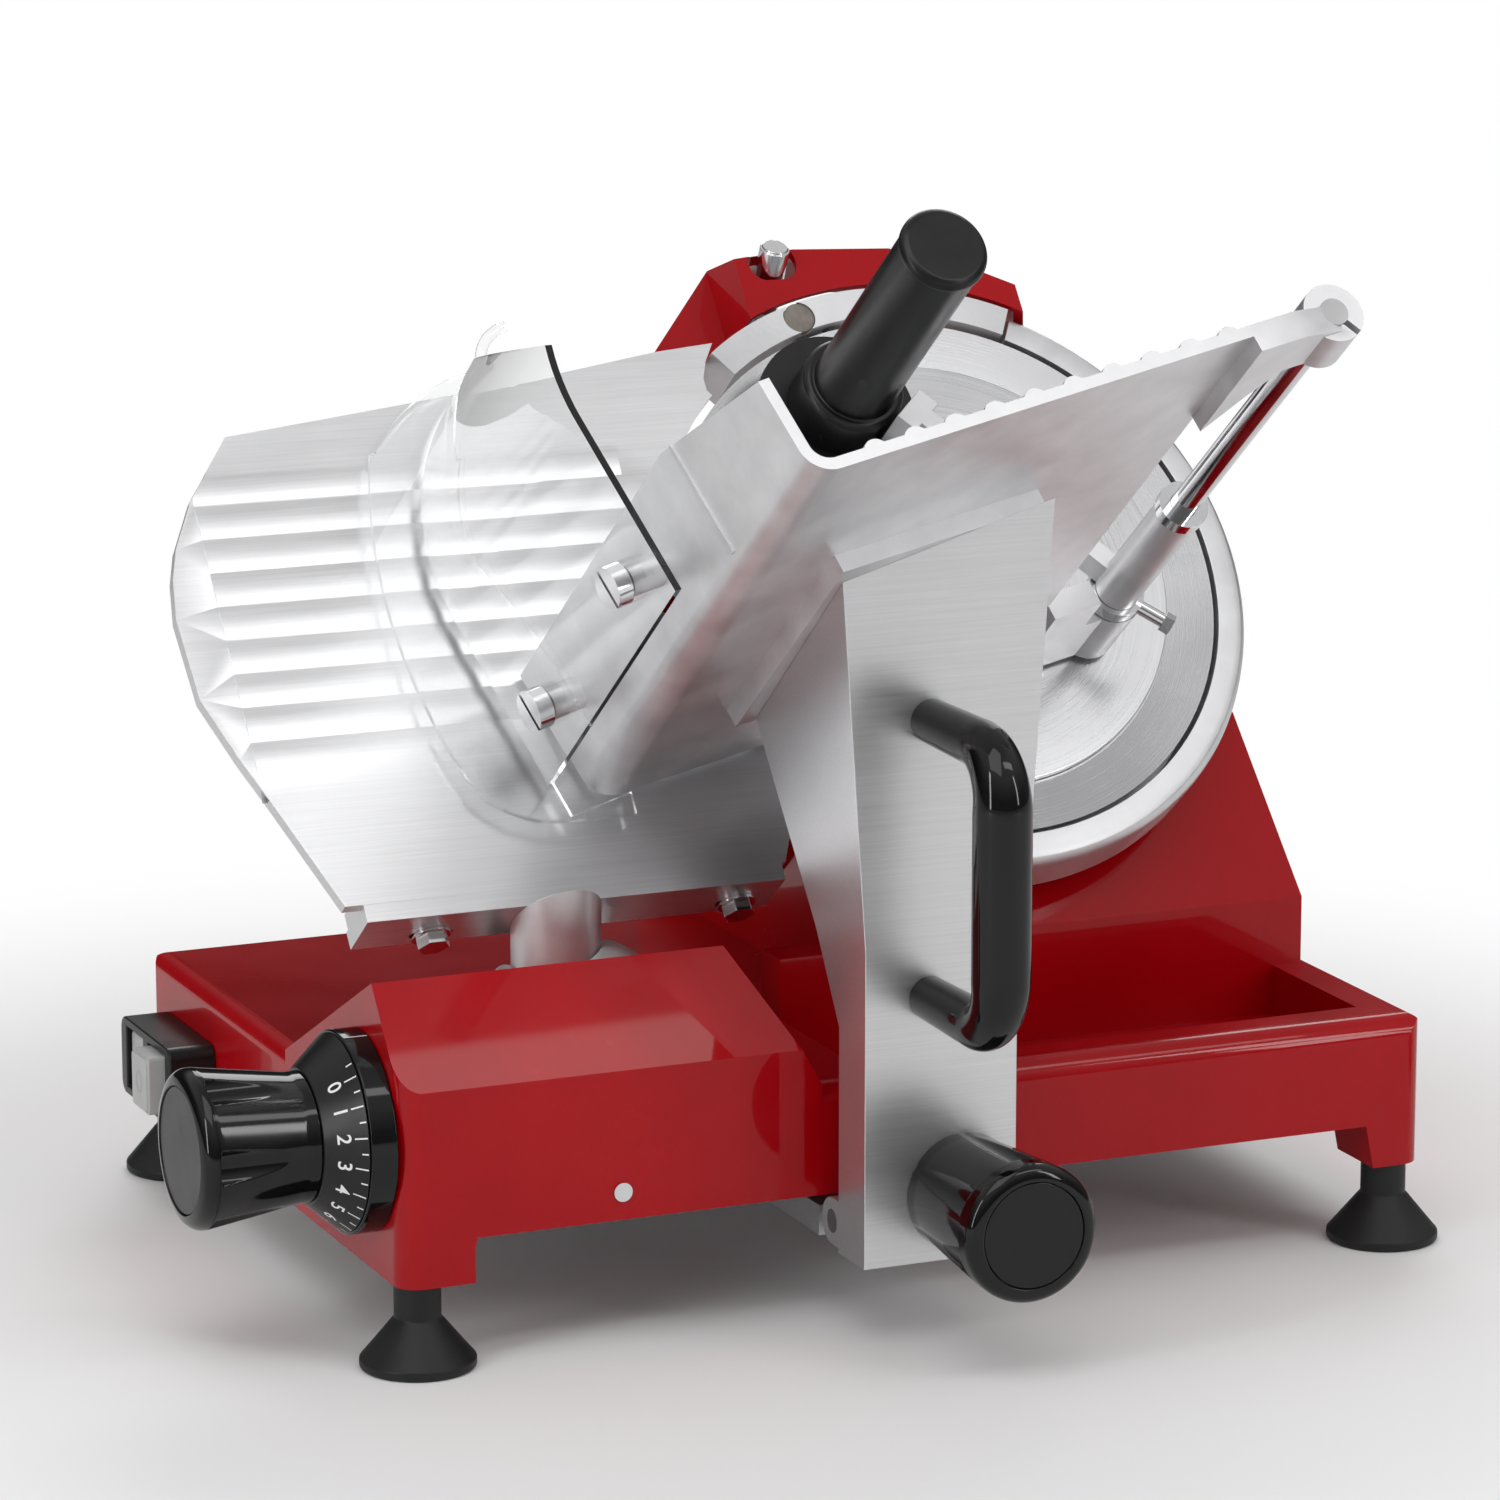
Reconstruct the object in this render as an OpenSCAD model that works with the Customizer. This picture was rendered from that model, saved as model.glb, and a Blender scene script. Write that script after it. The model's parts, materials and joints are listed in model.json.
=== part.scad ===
/* [Blade] */
// Diameter of the blade
blade_d = 250; // [220:5:260]
// Thickness of the blade
blade_t = 6; // [4:0.5:8]
// Lean of the blade plane back from upright, degrees
blade_tilt = 38; // [30:1:42]
// Blade centre, along the machine
blade_x = 115.5; // [105:0.5:125]
// Blade centre, front to back
blade_y = 40; // [35:0.5:45]
// Blade centre, above the table
blade_z = 276; // [270:0.5:285]
// Outer diameter of the fixed cover plate in front of the blade
cover_d = 205; // [180:1:210]
// Radial width of the guard ring's rim
ring_w = 14; // [10:0.5:18]
// Depth of the guard ring along the blade axis
ring_depth = 25; // [20:1:30]

/* [Base] */
// Length of the cast base
base_l = 468; // [460:1:475]
// Depth of the cast base
base_d = 322; // [314:1:330]
// Left end of the base
base_left = -200; // [-204:1:-196]
// Front face of the base
base_front = -121.5; // [-123:0.5:-119]
// Underside of the base above the table
base_bottom = 35; // [33:0.5:38]
// Top of the flat deck
deck_z = 101; // [99:0.5:103]
// Wall of the casting
base_wall = 4; // [3:0.5:5]
// Rounding of the base's upright corners
base_corner_r = 10; // [6:1:14]
// Underside of the front skirt between the feet
skirt_z = 54; // [50:0.5:58]
// Height of the front hump's ridge
hump_z = 156; // [150:0.5:160]
// How far the rear motor bulge stands out from the base
bulge_d = 44.5; // [40:0.5:50]

/* [Feet] */
// Foot spacing along the machine
foot_span_x = 444; // [438:1:448]
// Foot spacing front to back
foot_span_y = 306; // [300:1:310]
// Radius of a foot's disc
foot_r = 24; // [20:0.5:26]

/* [Gauge plate] */
// Length of the gauge plate's bottom edge
gauge_l = 204; // [195:1:210]
// Height of the gauge plate below the blade centre
gauge_down = 128; // [120:1:132]
// Height of the gauge plate above the blade centre, left corner
gauge_up = 92; // [86:1:95]
// Thickness of the gauge plate
gauge_t = 6; // [4:0.5:8]
// Travel of the gauge plate front to back
gauge_travel = 16; // [10:1:17]

/* [Carriage] */
// Length of the tray floor from its corner to its edge
tray_l = 209; // [195:1:212]
// Height of the tray's side wall
tray_wall_h = 64; // [50:1:70]
// Depth of the tray along the blade axis
tray_depth = 286; // [270:1:290]
// Thickness of the tray
tray_t = 5; // [4:0.5:6]
// Slope of the tray floor, degrees
tray_slope = 13; // [8:1:16]
// Height of the arm's underside above the table
arm_bottom = 34; // [30:0.5:38]
// Front face of the arm
arm_front = -165; // [-168:0.5:-162]
// Width of the arm at its foot
arm_w = 68; // [60:1:72]
// Wall of the arm
arm_t = 5; // [4:0.5:6]
// Spacing of the arm handle's two stubs
handle_span = 115; // [105:1:125]
// Thickness of the arm handle's grip
handle_grip_d = 24; // [22:0.5:28]
// Diameter of the pusher's guide rod
rod_d = 12; // [10:0.5:13]

/* [Pusher] */
// Diameter of the pusher's plate
pusher_d = 72; // [60:1:78]
// Length of the pusher's handle
pusher_grip_l = 116.5; // [100:0.5:120]
// Diameter of the pusher's handle
pusher_grip_d = 37; // [32:0.5:40]

/* [Knobs] */
// Radius of the knobs at their outer rim
knob_r = 33; // [28:0.5:35]
// Length of the thickness knob
knob_l = 51.7; // [46:0.5:52]
// Radius of the thickness scale ring
dial_r = 42; // [38:0.5:44]

/* [Hidden] */
$fn = 64;

// Overrun of cuts past a face, and the gaps of fits
over = 1;
seat_gap = 0.3;
run_gap = 0.05;
// Longer than any piece, for half spaces
far = 2 * base_l;

// Base outline
base_right = base_left + base_l;
base_back = base_front + base_d;
base_h = deck_z - base_bottom;
hump_ridge_in = 31.5;
hump_ridge_y = base_front + hump_ridge_in;
hump_d = 139;
hump_back_y = base_front + hump_d;
hump_lip_drop = 39;
hump_lip_z = hump_z - hump_lip_drop;
hump_l = 154;
hump_right = base_left + hump_l;
hump_run = 31;
hump_foot_right = hump_right + hump_run;
channel_gap = 25;
channel_x0 = hump_foot_right + channel_gap;
channel_rim = 22;
channel_x1 = base_right - channel_rim;
channel_front = 22;
channel_y0 = base_front + channel_front;
channel_depth = 22;
ledge_in = 99;
ledge_y = base_front + ledge_in;
ledge_h = 27;
ledge_z = deck_z + ledge_h;
ledge_gap = 24;
ledge_x0 = hump_foot_right + ledge_gap;
ledge_rim = 8;
ledge_x1 = base_right - ledge_rim;
foot_block = 32;
foot_block_right = 24;

// Feet
foot_in_x = 10.5;
foot_x0 = base_left + foot_in_x;
foot_in_y = 10.5;
foot_y0 = base_front + foot_in_y;
foot_neck_r = 9.7;
foot_lift = 0.5;
foot_disc_h = 5;
foot_flare_h = 20;
foot_bolt_r = 3;
foot_head_r = 5.5;
foot_head_h = 4;
foot_recess_h = 6;
foot_bolt_h = 16;
foot_bolt_top = base_bottom + foot_bolt_h;

// Base plate under the casting and the posts that carry it
plate_t = 1.5;
plate_z = skirt_z - plate_t;
plate_in = 142;
plate_y0 = base_front + plate_in;
post_r = 6;
post_places_shares = [[0.12, 0.55], [0.12, 0.9], [0.975, 0.85], [0.975, 0.5], [0.4, 0.9]];
screw_r = 2;
screw_head_r = 4;
screw_head_h = 2.5;
pin_x = 96;
pin_z = 31;

// Blade, ring and hub, measured along the blade axis from the blade plane
blade_r = blade_d / 2;
cover_r = cover_d / 2;
blade_gap = 2;
ring_ri = blade_r + blade_gap;
ring_ro = ring_ri + ring_w;
ring_face = 1;
ring_back = ring_face - ring_depth;
ring_edge_r = 6;
ring_start = -126;
ring_end = 62;
web_t = 4;
web_step = 0.6;
web_in = 7;
web_r = blade_r - web_in;
hub_r = 28;
hub_back = -42;
hub_front = -10;
bearing_ro = 20;
bearing_ri = 8.5;
bearing_w = 12;
hub_lip = 2;
bearing_front = -hub_front + hub_lip;
shaft_bore_r = 5.4;
shaft_flange_r = 24;
shaft_flange_t = 3.6;
shaft_end = -84;
bevel_gap = 1;
bevel_r = cover_r + bevel_gap;
edge_t = 0.4;
cover_t = 2.2;
tie_rod_r = 5;
support_in = 2;
support_face = -hub_back - support_in;
support_back = 100;
support_wall = 4.5;
support_r = 112;
belt_cover_t = 3;
tie_knob_r = 17;
tie_knob_l = 16;

// Belt drive
pulley_r = 45;
pulley_w = 12;
pulley_z = -73;
motor_v = -112;
motor_r = 42;
motor_l = 66;
motor_front = -80;
motor_plate_t = 4;
motor_pulley_r = 15;
motor_shaft_r = 6;
belt_t = 3;
belt_w = 10;
mount_post_u = 54;
mount_post_r = 7;
mount_up = 12;
mount_down = 30;
mount_post_vs = [motor_v + mount_up, motor_v - mount_down];

// Sheet that turns the slices down behind the blade
deflector_u = -125;
deflector_v = -100;
deflector_w = 75;
deflector_h = 160;
deflector_gap = 10;
deflector_post_shares = [[0.493, 0.3625], [0.707, 0.8125]];

// Motor hood at the rear
hood_left = 66;
hood_right = 137;
hood_x0 = blade_x - hood_left;
hood_x1 = blade_x + hood_right;
hood_front = 14;
hood_y0 = blade_y - hood_front;
hood_rear = 80;
hood_top_y = blade_y + hood_rear;
hood_h = 81;
hood_z = deck_z + hood_h;
hood_bottom = skirt_z;
bulge_h = 22;
bulge_z = deck_z + bulge_h;
base_max_y = base_back + bulge_d;
capacitor_r = 16;
capacitor_l = 62;
capacitor_out = 20;
capacitor_y = base_back + capacitor_out;

// Thickness control on the left end
dial_inset = 43;
dial_y = base_front + dial_inset;
dial_drop = 9;
dial_z = deck_z - dial_drop;
dial_t = 11.5;
scale_l = 15;
scale_in = 1;
scale_r = dial_r - scale_in;
knob_root_r = 27;
knob_shaft_r = 6;
knob_rim_l = 9;
knob_flutes = 6;
knob_cap_r = 26;
knob_cap_t = 2.5;
knob_turn = 300;
cam_in = 75;
cam_x = base_left + cam_in;
cam_t = 8;
cam_r = 8;
cam_steps = 30;
nose_r = 3;
nose_gap = 0.9;
shaft_boss_r = 12;
shaft_boss_l = 22;

// Gauge carrier
gauge_off = 213.5;
gauge_x = blade_x - gauge_off;
gauge_in = 87;
gauge_y = base_front + gauge_in;
rail_r = 7;
rail_drop = 15;
rail_z = deck_z - rail_drop;
rail_front = 32;
rail_rear = 56;
rail_y0 = gauge_y - rail_front;
rail_y1 = gauge_y + rail_rear;
rail_bracket_w = 18;
rail_bracket_t = 7;
slider_w = 52;
slider_l = 44;
slider_h = 26;
gauge_post_r = 19;
gauge_blade_gap = 3.5;
bracket_t = 8;
bracket_d = 27;
bracket_u0 = -300;
bracket_l = 187;
slot_l = 38;
slot_w = 7;
slot_inset = 33;
collar_r = 35;
collar_h = 18;
collar_shift = 8;
hex_r = 7;
hex_h = 5;
washer_r = 8.5;
washer_t = 1.5;
bolt_r = 3;
rib_t = 4;
rib_d = 12;

// Carriage under the base
guide_r = 10;
guide_in = 60;
guide_y = base_front + guide_in;
guide_up = 20;
guide_z = base_bottom + guide_up;
block_l = 90;
block_w = 36;
block_h = 24;
link_w = 38;
link_up = 3;
link_z = base_bottom + link_up;
link_h = 12;
carriage_off = 97;
carriage_x = blade_x - carriage_off;
flat_in = 122;
flat_y = base_front + flat_in;
flat_w = 12;
flat_h = 8;
flat_up = 5;
flat_z = base_bottom + flat_up;
roller_r = 9.7;
axle_z = flat_z + flat_h + roller_r;
roller_w = 11;
axle_r = 4;
pivot_out = 11;
pivot_y = base_front - pivot_out;
pivot_up = 11;
pivot_z = base_bottom + pivot_up;
pivot_r = 5;
eye_r = 10;
tongue_w = 28;
tongue_t = 7;
tongue_out = 28.5;
tongue_y = base_front - tongue_out;
tongue_up = 41;
tongue_top = base_bottom + tongue_up;
fork_w = 10;
stud_r = 4;
stud_l = 24;

// Arm
arm_left = 34;
arm_x0 = carriage_x - arm_left;
arm_depth = 26;
arm_wing_d = 103;
arm_wing_y = arm_front + arm_wing_d;
arm_bend_h = 96;
arm_bend_z = arm_bottom + arm_bend_h;
arm_wing_h = 216;
arm_wing_z = arm_bottom + arm_wing_h;
arm_kink_h = 133;
arm_kink_z = arm_bottom + arm_kink_h;
arm_h = 330;
arm_top_z = arm_bottom + arm_h;
arm_top_in = 13.5;
arm_top_out = 16;
pad_t = 8;
pad_a0 = 44;
pad_a1 = 142;
pad_n0 = 62;
pad_n1 = 200;
lock_off = 10;
lock_x = carriage_x + lock_off;
lock_up = 28.5;
lock_z = arm_bottom + lock_up;
lock_r = 29;
lock_root_r = 25;
lock_cap_r = 22;
lock_l = 68;
handle_off = 5.5;
handle_x = carriage_x - handle_off;
handle_up = 112;
handle_z0 = arm_bottom + handle_up;
handle_reach = 67;
handle_stub_r = 9;
handle_bend_w = 11;
handle_bend_r = 20;

// Tray, measured in the blade plane
tray_u = -190;
tray_v = -94;
tray_gap = 4;
tray_lean = 106;
tray_corner_r = 13;
tray_corner_steps = 12;
tray_cut_n = 92;
tray_cut_h = 20;
tray_ribs = 10;
tray_rib_r = 5.5;
tray_rib_up = 2.4;
tray_rib_a0 = 30;
tray_jog_n = 207;
tray_jog_h0 = 11;
tray_web_a = 232;
tray_web_n = 58;
clip_t = 12;
clip_low_l = 33.5;
rod_r = rod_d / 2;
rod_u = 54.5;
rod_v = -36;
clip_r = 13;
clip_l = 22;
clip_drop = 6;
clip_slot_angle = -62;
clip_slot = 3;

// Hand guard
guard_t = 3;
guard_gap = 15;
guard_n0 = 6;
guard_n1 = 187;
guard_h0 = 13;
guard_h1 = 95;
guard_arc_r = 112;
guard_arc_end = 19;
guard_corner_v = 27;
guard_tip_v = 115;
guard_tip_u = -192;
guard_left_r = 247;
guard_edge_u = -261;
guard_left = [guard_edge_u + guard_left_r, 8];
guard_top = [-176, 26];
guard_top_r = 88;
guard_low = [-207, -58];
guard_low_r = 45;
guard_right = -175;
hook_r = 20;
hook_rod_r = 2.5;
hook_turn = 75;
guard_nut_h = 36;
guard_nut_ns = [40, 150];
guard_nut_r = 9;
guard_nut_t = 7;
spacer_r = 7;
guard_screw_r = 2.5;

// Pusher
pusher_u = -40;
pusher_v = 73;
pusher_n = 18;
pusher_t = 4;
pusher_neck_r = 23;
pusher_neck_l = 23;
pusher_cap_l = 6;
spike_r = 3;
spike_h = 5;
slider_n0 = 38;
slider_n1 = 122;
slider_ri = rod_r + run_gap;
slider_ro = 8;
collar_w = 6;
slider_collar_r = 11;
lever_r = 4.5;
lever_l = 24;
lever_angle = -39;
arm_hub_r = 10;
arm_bar_n = slider_n0 + collar_w + over;
arm_bar_l = 13;
arm_bar_t = 9;

// Sharpener
sharp_a0 = 63;
sharp_a1 = 126;
sharp_face = 4;
sharp_mount_w = 30;
sharp_mount_v = 0.768 * blade_r;
hood_gap = 2;
hood_gap_r = ring_ro + hood_gap;
roof_n0 = 4;
roof_n1 = -21;
roof_n2 = -50;
roof_share = 0.955;
roof_wall = 3;
roof_centre_share = [0, 0.84];
roof_front_shares = [[-0.48, 0.768], [-0.48, 1.28], [-0.248, 1.304], [0.12, 1.284],
    [0.432, 1.176], [0.568, 1.104], [0.568, 0.768]];
roof_back_shares = [[-0.504, 0.768], [-0.504, 1.344], [-0.16, 1.396], [0.192, 1.372],
    [0.512, 1.252], [0.632, 1.18], [0.632, 0.768]];
roof_wing_shares = [[-0.772, 0.88], [-0.772, 1.048], [-0.504, 1.344], [-0.48, 1.344], [-0.48, 0.88]];
button_r = 6.7;
button_l = 32;
button_u = -0.34 * blade_r;
button_v = 1.24 * blade_r;
button_out = 12;
button_drop = 12;
button_tilt = 27;
stone_r = 10;
stone_t = 5;
stone_axle_r = 3;
stone_a = 100;
stone_gap = 1;
stone_at = blade_r + stone_gap;
stone_n = -12;
burr_r = 7;
burr_t = 4;
burr_a = 106;
burr_gap = 7;
burr_at = ring_ri + burr_gap;

// Switch and inlet
switch_in = 231;
switch_y0 = base_front + switch_in;
switch_w = 69;
switch_up = 9;
switch_z0 = base_bottom + switch_up;
switch_h = 35;
switch_out = 21;
switch_wall = 3;
button_w = 22;
button_h = 26;
start_out = 19;
stop_out = 29;
press = 3;
button_gap = 0.5;
gland_r = 9;
gland_neck_r = 7;
gland_bore = 3.6;
gland_l = 20;
gland_in = 50;
gland_x = base_left + gland_in;
gland_drop = 28;
gland_z = deck_z - gland_drop;

module red() { color([0.62, 0.02, 0.05]) children(); }
module alu() { color([0.78, 0.79, 0.8]) children(); }
module steel() { color([0.62, 0.63, 0.65]) children(); }
module black() { color([0.06, 0.06, 0.07]) children(); }
module rubber() { color([0.12, 0.12, 0.12]) children(); }

// Frame on the blade: y up the blade plane, z out of it
module on_blade() {
    translate([blade_x, blade_y, blade_z]) rotate([90 - blade_tilt, 0, 0]) children();
}

// Frame of a shaft that points along +X from [x, y, z]
module along_x(x, y, z) { translate([x, y, z]) rotate([90, 0, 90]) children(); }

// Frame of a shaft that points along +Y from [x, y, z]
module along_y(x, y, z) { translate([x, y, z]) rotate([-90, 0, 0]) children(); }

module tube(ro, ri, h) {
    difference() {
        cylinder(r = ro, h = h);
        translate([0, 0, -over]) cylinder(r = ri, h = h + 2 * over);
    }
}

// Rectangle with all four corners round
module round_rect(w, h, r) {
    translate([r, 0]) square([w - 2 * r, h]);
    translate([0, r]) square([w, h - 2 * r]);
    for (x = [r, w - r], y = [r, h - r]) translate([x, y]) circle(r);
}

// Straight slot of a given length and width
module slot_2d(l, w) {
    square([l - w, w], center = true);
    for (s = [-1, 1]) translate([s * (l - w) / 2, 0]) circle(w / 2);
}

// Slot that the gauge post travels in
module post_slot() {
    slot_2d(2 * gauge_post_r + gauge_travel + 2 * over, 2 * gauge_post_r + 2 * over);
}

// Extrude a side outline, drawn as [y, z], along X from x0
module along_side(x0, l) {
    translate([x0, 0, 0]) rotate([90, 0, 90]) linear_extrude(l) children();
}

// Extrude a front outline, drawn as [x, z], along +Y from y0
module along_front(y0, l) {
    translate([0, y0 + l, 0]) rotate([90, 0, 0]) linear_extrude(l) children();
}

// Cast base
module hump(inset, top) {
    intersection() {
        along_side(base_left + inset, hump_foot_right - base_left - 2 * inset)
            polygon([[base_front + inset, top - base_h / 2], [base_front + inset, hump_lip_z - inset],
                [hump_ridge_y, hump_z - 1.4 * inset], [hump_back_y - inset, top],
                [hump_back_y - inset, top - base_h / 2]]);
        along_front(base_front - over, base_d)
            polygon([[base_left + inset, top - base_h / 2], [base_left + inset, hump_z + over],
                [hump_right - inset, hump_z + over], [hump_right - inset, hump_z],
                [hump_foot_right - inset, top], [hump_foot_right - inset, top - base_h / 2]]);
    }
}

module support_outline(inset) {
    r = support_r - inset;
    circle(r);
    polygon([[-0.6 * support_r + inset, -far / 4], [-0.6 * support_r + inset, -0.75 * r],
        [-0.5 * r, 0], [0.92 * r, 0.3 * r], [1.235 * support_r - inset, -0.55 * support_r],
        [1.29 * support_r - inset, -1.37 * support_r], [1.29 * support_r - inset, -far / 4]]);
}

// Motor hood behind the blade support, with its rear bulge
module hood(inset, face) {
    intersection() {
        along_side(hood_x0 + inset, hood_x1 - hood_x0 - 2 * inset)
            polygon([[hood_y0, deck_z - base_h / 2], [hood_y0, hood_z - inset],
                [hood_top_y, hood_z - inset], [base_max_y - inset, bulge_z - inset],
                [base_max_y - inset, hood_bottom + inset], [base_back - 2 * inset, hood_bottom + inset],
                [base_back - 2 * inset, deck_z - base_h / 2]]);
        translate([hood_x0 + inset, 0, base_bottom])
            linear_extrude(far / 4) round_rect(hood_x1 - hood_x0 - 2 * inset,
                base_max_y - inset, base_corner_r);
        on_blade() translate([-far, -far, -far - face]) cube([2 * far, 2 * far, far]);
    }
}

module hump_and_deck() {
    hump(0, deck_z);
    translate([base_left, base_front, base_bottom]) cube([base_l, base_d, base_h - base_wall / 2]);
}

module base_outside() {
    intersection() {
        translate([base_left, base_front, base_bottom]) linear_extrude(far / 4)
            round_rect(base_l, base_d, base_corner_r);
        union() {
            intersection() {
                along_side(base_left, base_l) translate([base_front, base_bottom - base_corner_r])
                    round_rect(base_d, base_h + base_corner_r, base_corner_r);
                along_front(base_front, base_d)
                    translate([base_left, base_bottom - base_corner_r])
                        round_rect(base_l, base_h + base_corner_r, 0.8 * base_corner_r);
                translate([base_left, base_front, base_bottom]) cube([base_l, base_d, base_h]);
            }
            hump(0, deck_z);
            translate([ledge_x0, ledge_y, deck_z - over])
                cube([ledge_x1 - ledge_x0, 2 * base_corner_r, ledge_z - deck_z + over]);
        }
    }
    intersection() {
        on_blade() translate([0, 0, -support_back])
            linear_extrude(support_back - support_face) support_outline(0);
        translate([ledge_x0, ledge_y, deck_z - over])
            cube([ledge_x1 - ledge_x0, base_max_y - ledge_y, far]);
    }
    hood(0, support_face + over);
}

// Pads that join each foot's seat to its corner block
module foot_pads() {
    block_x = [base_left + foot_block / 2, base_right - foot_block / 2];
    block_y = [base_front + foot_block / 2, base_back - foot_block / 2];
    for (i = [0, 1], j = [0, 1]) {
        x = foot_x0 + i * foot_span_x;
        y = foot_y0 + j * foot_span_y;
        h = skirt_z - base_bottom + base_wall / 2 - foot_lift;
        translate([x, y, base_bottom + foot_lift]) cylinder(r = foot_neck_r, h = h);
        translate([min(x, block_x[i]), y - foot_neck_r / 2, base_bottom + foot_lift])
            cube([abs(x - block_x[i]) + over, foot_neck_r, h]);
        translate([block_x[i] - foot_neck_r / 2, min(y, block_y[j]), base_bottom + foot_lift])
            cube([foot_neck_r, abs(y - block_y[j]) + over, h]);
    }
}

module base_body() {
    red() difference() {
        union() {
            difference() {
                base_outside();
                // Hollow of the base, the hump, the support and the hood
                difference() {
                    translate([base_left + base_wall, base_front + base_wall, base_bottom - over])
                        cube([base_l - 2 * base_wall, base_d - 2 * base_wall,
                            base_h - base_wall + over]);
                    for (x = [base_left, base_right - foot_block], y = [base_front, base_back - foot_block])
                        translate([x, y, base_bottom])
                            cube([foot_block, foot_block, skirt_z - base_bottom + base_wall]);
                    translate([channel_x0 - base_wall, channel_y0 - base_wall, deck_z - channel_depth - base_wall])
                        cube([channel_x1 - channel_x0 + 2 * base_wall,
                            ledge_y - channel_y0 + 2 * base_wall, channel_depth + base_wall]);
                }
                hump(base_wall, deck_z - base_wall);
                intersection() {
                    on_blade() translate([0, 0, -support_back - over])
                        linear_extrude(support_back - support_face - support_wall + over)
                            support_outline(support_wall);
                    translate([ledge_x0 + support_wall, ledge_y + base_wall, deck_z - base_wall - over])
                        cube([hood_x1 - base_wall - ledge_x0 - support_wall,
                            base_max_y - ledge_y, far]);
                }
                hood(base_wall, support_face + support_wall);
                // Arches in the skirt between the feet
                along_front(base_front - over, base_d + 2 * over)
                    polygon([[base_left + foot_block, base_bottom - over],
                        [base_left + foot_block, skirt_z - base_wall], [base_left + foot_block + over, skirt_z],
                        [base_right - foot_block_right - base_wall, skirt_z],
                        [base_right - foot_block_right, base_bottom - over]]);
            }
            foot_pads();
            // Bosses of the carriage rod and the knob shaft, posts of the bottom plate
            along_x(base_left + base_wall - over, dial_y, dial_z)
                cylinder(r = shaft_boss_r, h = shaft_boss_l);
            for (x = [base_left + base_wall - over, base_right - base_wall - base_corner_r])
                along_x(x, guide_y, guide_z) cylinder(r = guide_r + base_wall, h = base_corner_r + over);
            for (p = post_places_shares)
                translate([base_left + base_l * p[0], base_front + base_d * p[1], skirt_z])
                    cylinder(r = post_r, h = base_h - (skirt_z - base_bottom) - base_wall / 2);
            // Brackets of the gauge's guide rod
            intersection() {
                hump_and_deck();
                for (y = [rail_y0, rail_y1 - rail_bracket_t])
                    translate([gauge_x - rail_bracket_w / 2, y, rail_z - rail_bracket_w / 2])
                        cube([rail_bracket_w, rail_bracket_t, base_h]);
            }
            // Posts that carry the motor plate
            on_blade() for (s = [-1, 1], v = mount_post_vs)
                translate([s * mount_post_u, v, motor_front])
                    cylinder(r = mount_post_r, h = -support_face - motor_front - support_wall / 2);
        }
        // Channel beside the ledge
        translate([channel_x0, channel_y0, deck_z - channel_depth])
            cube([channel_x1 - channel_x0, ledge_y - channel_y0, channel_depth + over]);
        along_x(base_left + base_wall / 2, guide_y, guide_z)
            cylinder(r = guide_r + run_gap, h = base_l - base_wall);
        along_y(gauge_x, rail_y0 - over, rail_z)
            cylinder(r = rail_r + run_gap, h = rail_y1 - rail_y0 + 2 * over);
        for (p = post_places_shares)
            translate([base_left + base_l * p[0], base_front + base_d * p[1], skirt_z - over])
                cylinder(r = screw_r, h = base_h / 3);
        for (x = [foot_x0, foot_x0 + foot_span_x], y = [foot_y0, foot_y0 + foot_span_y])
            translate([x, y, base_bottom - over]) cylinder(r = foot_bolt_r, h = foot_bolt_top - base_bottom + over);
        on_blade() translate([0, 0, hub_back - support_wall - over])
            cylinder(r = hub_r + seat_gap, h = 2 * support_wall + over);
        along_x(base_left - over, dial_y, dial_z)
            cylinder(r = knob_shaft_r + run_gap, h = base_wall + shaft_boss_l + 2 * over);
        // Slot of the gauge post
        translate([gauge_x, gauge_y + gauge_travel / 2, deck_z - base_wall - over]) rotate([0, 0, 90])
            linear_extrude(base_h) post_slot();
        // Window of the switch and the cord inlet
        translate([base_left - over, switch_y0 + switch_wall, switch_z0 + switch_wall])
            cube([base_wall + 2 * over, switch_w - 2 * switch_wall, switch_h - 2 * switch_wall]);
        along_y(gland_x, base_back - base_wall - over, gland_z)
            cylinder(r = gland_neck_r, h = base_wall + 2 * over);
        // Screw seat on the front face
        along_y(base_left + pin_x, base_front - over, base_bottom + pin_z)
            cylinder(r = screw_r, h = base_wall / 2 + over);
    }
}

module base_plate() {
    steel() difference() {
        translate([base_left + base_wall + seat_gap, plate_y0, plate_z])
            cube([base_l - 2 * base_wall - 2 * seat_gap, base_back - base_wall - seat_gap - plate_y0, plate_t]);
        for (x = [base_left, base_right - foot_block - seat_gap])
            translate([x, base_back - foot_block - seat_gap, plate_z - over])
                cube([foot_block + seat_gap, foot_block, plate_t + 2 * over]);
        for (p = post_places_shares)
            translate([base_left + base_l * p[0], base_front + base_d * p[1], plate_z - over])
                cylinder(r = screw_r + seat_gap, h = plate_t + 2 * over);
    }
}

module base_screws() {
    steel() for (p = post_places_shares)
        translate([base_left + base_l * p[0], base_front + base_d * p[1], plate_z - screw_head_h]) {
            cylinder(r = screw_head_r, h = screw_head_h);
            cylinder(r = screw_r - run_gap, h = base_h / 3);
        }
    steel() along_y(base_left + pin_x, base_front - screw_head_h / 2, base_bottom + pin_z) {
        cylinder(r = screw_head_r, h = screw_head_h / 2);
        cylinder(r = screw_r - run_gap, h = base_wall / 2 + screw_head_h / 2);
    }
}

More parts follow.
